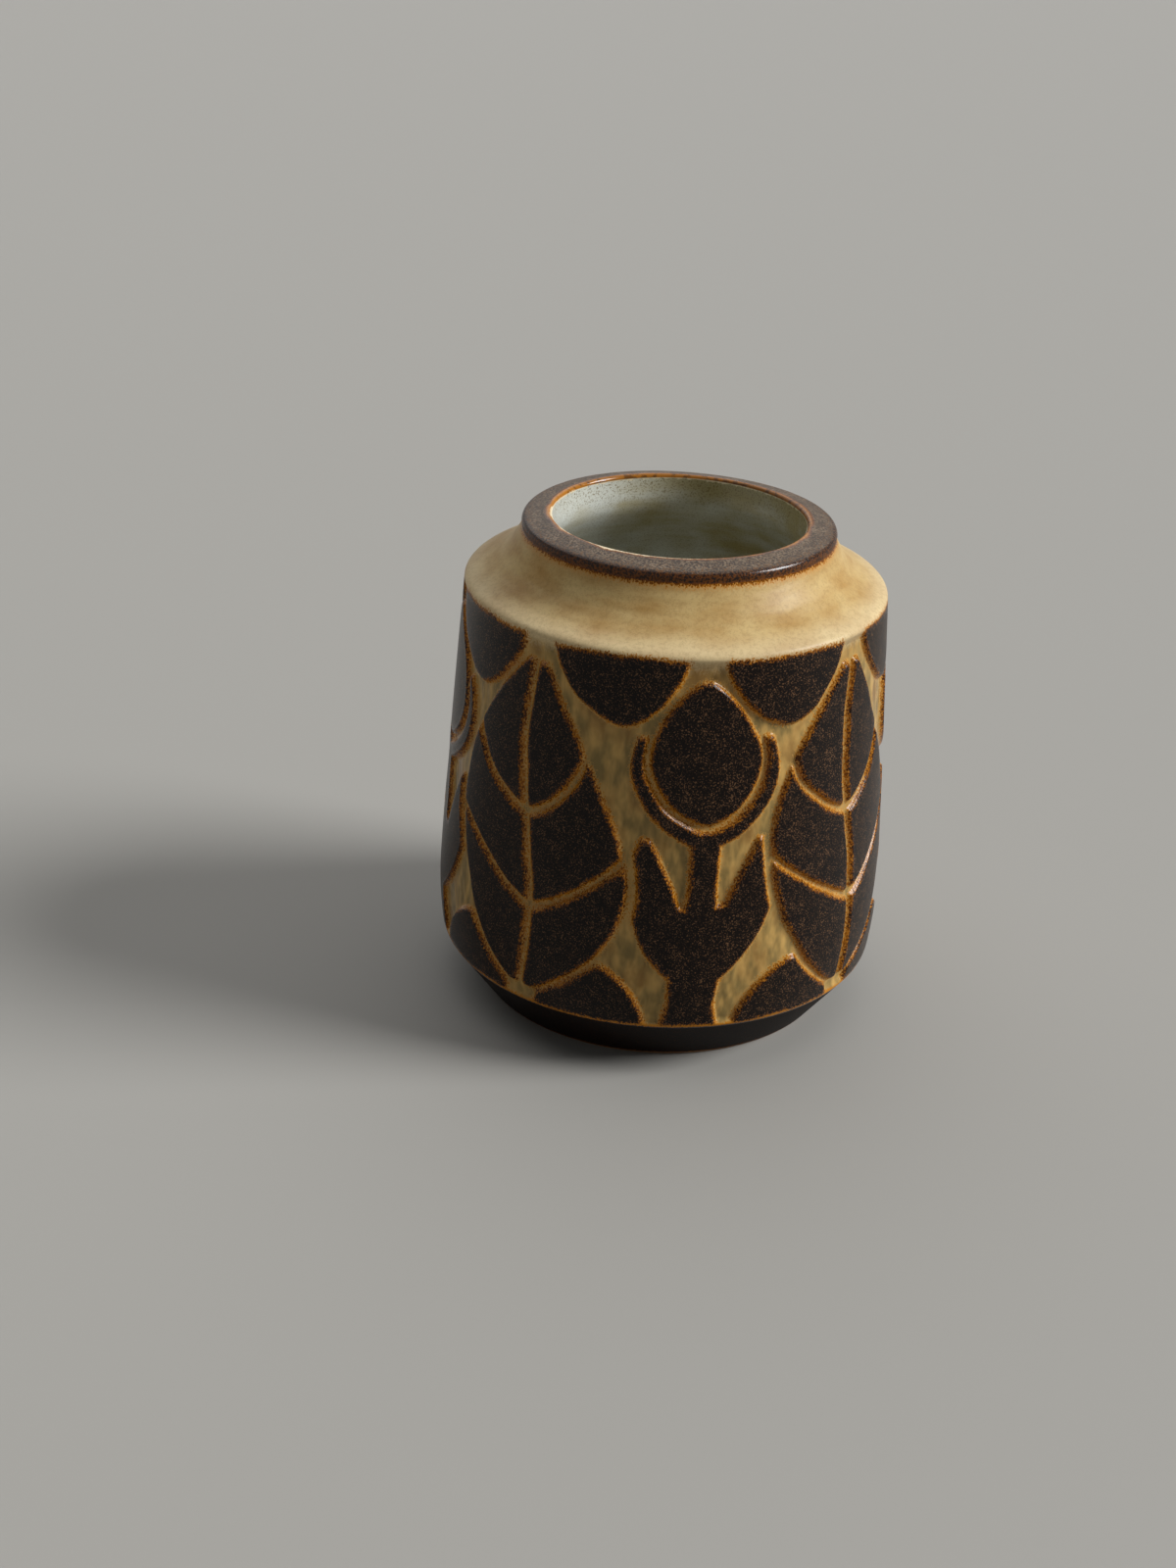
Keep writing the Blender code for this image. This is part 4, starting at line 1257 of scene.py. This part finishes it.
class VASE_OT_carved_wall(Operator):
    """Carve and glaze the wall, one repeat of the frieze at a time"""

    bl_idname = "vase.carved_wall"
    bl_label = "Carved Wall"

    def execute(self, context):
        skin = skin_of(context.scene)
        line = skin.line
        material = shared("iron_glaze_over_ochre", wall_glaze)
        repeats = skin.frieze.repeats
        stations = line.rows(line.shoulder_edge, line.foot_line + MM, WALL_ROWS)
        for repeat in range(repeats):
            start = skin.frieze.turn + repeat * TURN / repeats
            columns = start + np.arange(COLUMNS + 1) * TURN / repeats / COLUMNS
            ending = f"_{repeat + 1}"
            replaced = [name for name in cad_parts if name.endswith(ending)]
            if repeat == 0:
                replaced.append("valley_glaze")
            skin_piece(
                f"carved_wall{ending}",
                skin,
                columns,
                stations,
                skin.profile.relief + skin.profile.glaze,
                material,
                replaced,
            )
        return {"FINISHED"}


class VASE_OT_foot(Operator):
    """Glaze the sloping foot"""

    bl_idname = "vase.foot"
    bl_label = "Foot Glaze"

    def execute(self, context):
        skin = skin_of(context.scene)
        line = skin.line
        stations = line.rows(line.foot_line + MM, line.end, FOOT_ROWS)
        material = shared("dry_iron_glaze", foot_glaze)
        piece = ring_piece("foot", skin, stations, material, "foot_glaze")
        above_table = np.repeat(line.end - stations, len(whole_turn(skin))) / MM
        add_attribute(piece.data, "above_table", above_table)
        return {"FINISHED"}


FLOOR_HALF = 6
# The world lights the vase faintly, but is brighter where the camera sees it or the glaze mirrors it
WORLD_LIGHT, WORLD_SEEN = 0.1, 0.35
# Name, azimuth, elevation, spread and strength of each lamp, with its angles in degrees
LAMPS = (("window", -5, 34, 24, 3.8), ("skylight", 100, 62, 90, 1.2))
CAMERA_PLACE = (-0.02306, -0.58445, 0.34689)
CAMERA_PITCH, CAMERA_ROLL = math.radians(26.0126), math.radians(2.5525)
CAMERA_LENS, CAMERA_SENSOR, CAMERA_REACH = 48.497, 36, 50


def add_light(name, azimuth, elevation, spread, strength):
    """A lamp far away, so that it lights the whole floor evenly; its spread softens its shadows.
    The angles are in degrees, with azimuth 0 on the right and 90 behind the vase."""
    lamp = bpy.data.lights.new(name, "SUN")
    lamp.angle = math.radians(spread)
    lamp.energy = strength
    light = bpy.data.objects.new(name, lamp)
    light.rotation_euler = (0, math.radians(90 - elevation), math.radians(azimuth))
    bpy.context.collection.objects.link(light)


class VASE_OT_stage(Operator):
    """Add the floor, the lights and the camera"""

    bl_idname = "vase.stage"
    bl_label = "Stage"

    def execute(self, context):
        scene = context.scene
        scene.view_settings.view_transform = "Standard"
        mesh = bpy.data.meshes.new("floor")
        corners = [(x * FLOOR_HALF, y * FLOOR_HALF, 0) for x, y in ((-1, -1), (1, -1), (1, 1), (-1, 1))]
        mesh.from_pydata(corners, [], [(0, 1, 2, 3)])
        mesh.materials.append(plain_floor(scene.vase_glazes))
        floor = bpy.data.objects.new("floor", mesh)
        context.collection.objects.link(floor)

        world = bpy.data.worlds.new("soft_studio")
        world.use_nodes = True
        tree = world.node_tree
        sky = tree.nodes["Background"].inputs
        rays = [add_node(tree, "LightPath", give=f"Is {kind} Ray") for kind in ("Camera", "Glossy")]
        seen = add_node(tree, "Math", rays, operation="MAXIMUM")
        strength = add_node(tree, "MapRange", (seen, 0, 1, WORLD_LIGHT, WORLD_SEEN))
        fill(tree, sky["Color"], (1, 1, 1))
        fill(tree, sky["Strength"], strength)
        scene.world = world
        for lamp in LAMPS:
            add_light(*lamp)

        camera = bpy.data.cameras.new("camera")
        camera.sensor_width = CAMERA_SENSOR
        camera.lens = CAMERA_LENS
        camera.clip_end = CAMERA_REACH
        viewer = bpy.data.objects.new("camera", camera)
        turn = Matrix.Rotation(math.pi / 2 - CAMERA_PITCH, 4, "X") @ Matrix.Rotation(CAMERA_ROLL, 4, "Z")
        viewer.matrix_world = Matrix.Translation(CAMERA_PLACE) @ turn
        context.collection.objects.link(viewer)
        scene.camera = viewer
        return {"FINISHED"}


class VASE_PT_build(Panel):
    """Lists the vase's pieces in the sidebar"""

    bl_idname = "VASE_PT_build"
    bl_label = "Carved Vase"
    bl_space_type = "VIEW_3D"
    bl_region_type = "UI"
    bl_category = "Vase"

    def draw(self, context):
        for operator in OPERATORS:
            self.layout.operator(operator.bl_idname)
        for name, group in GROUPS:
            box = self.layout.box()
            for size in group.__annotations__:
                box.prop(getattr(context.scene, name), size)


OPERATORS = (
    VASE_OT_stage,
    VASE_OT_clay_body,
    VASE_OT_liner,
    VASE_OT_lip,
    VASE_OT_shoulder,
    VASE_OT_carved_wall,
    VASE_OT_foot,
)
CLASSES = (*(group for name, group in GROUPS), *OPERATORS, VASE_PT_build)


def register():
    for item in CLASSES:
        bpy.utils.register_class(item)
    for name, group in GROUPS:
        setattr(bpy.types.Scene, name, PointerProperty(type=group))


def unregister():
    for name, group in GROUPS:
        delattr(bpy.types.Scene, name)
    for item in reversed(CLASSES):
        bpy.utils.unregister_class(item)


def main():
    register()
    for operator in OPERATORS:
        group, name = operator.bl_idname.split(".")
        getattr(getattr(bpy.ops, group), name)()


if __name__ == "__main__":
    main()
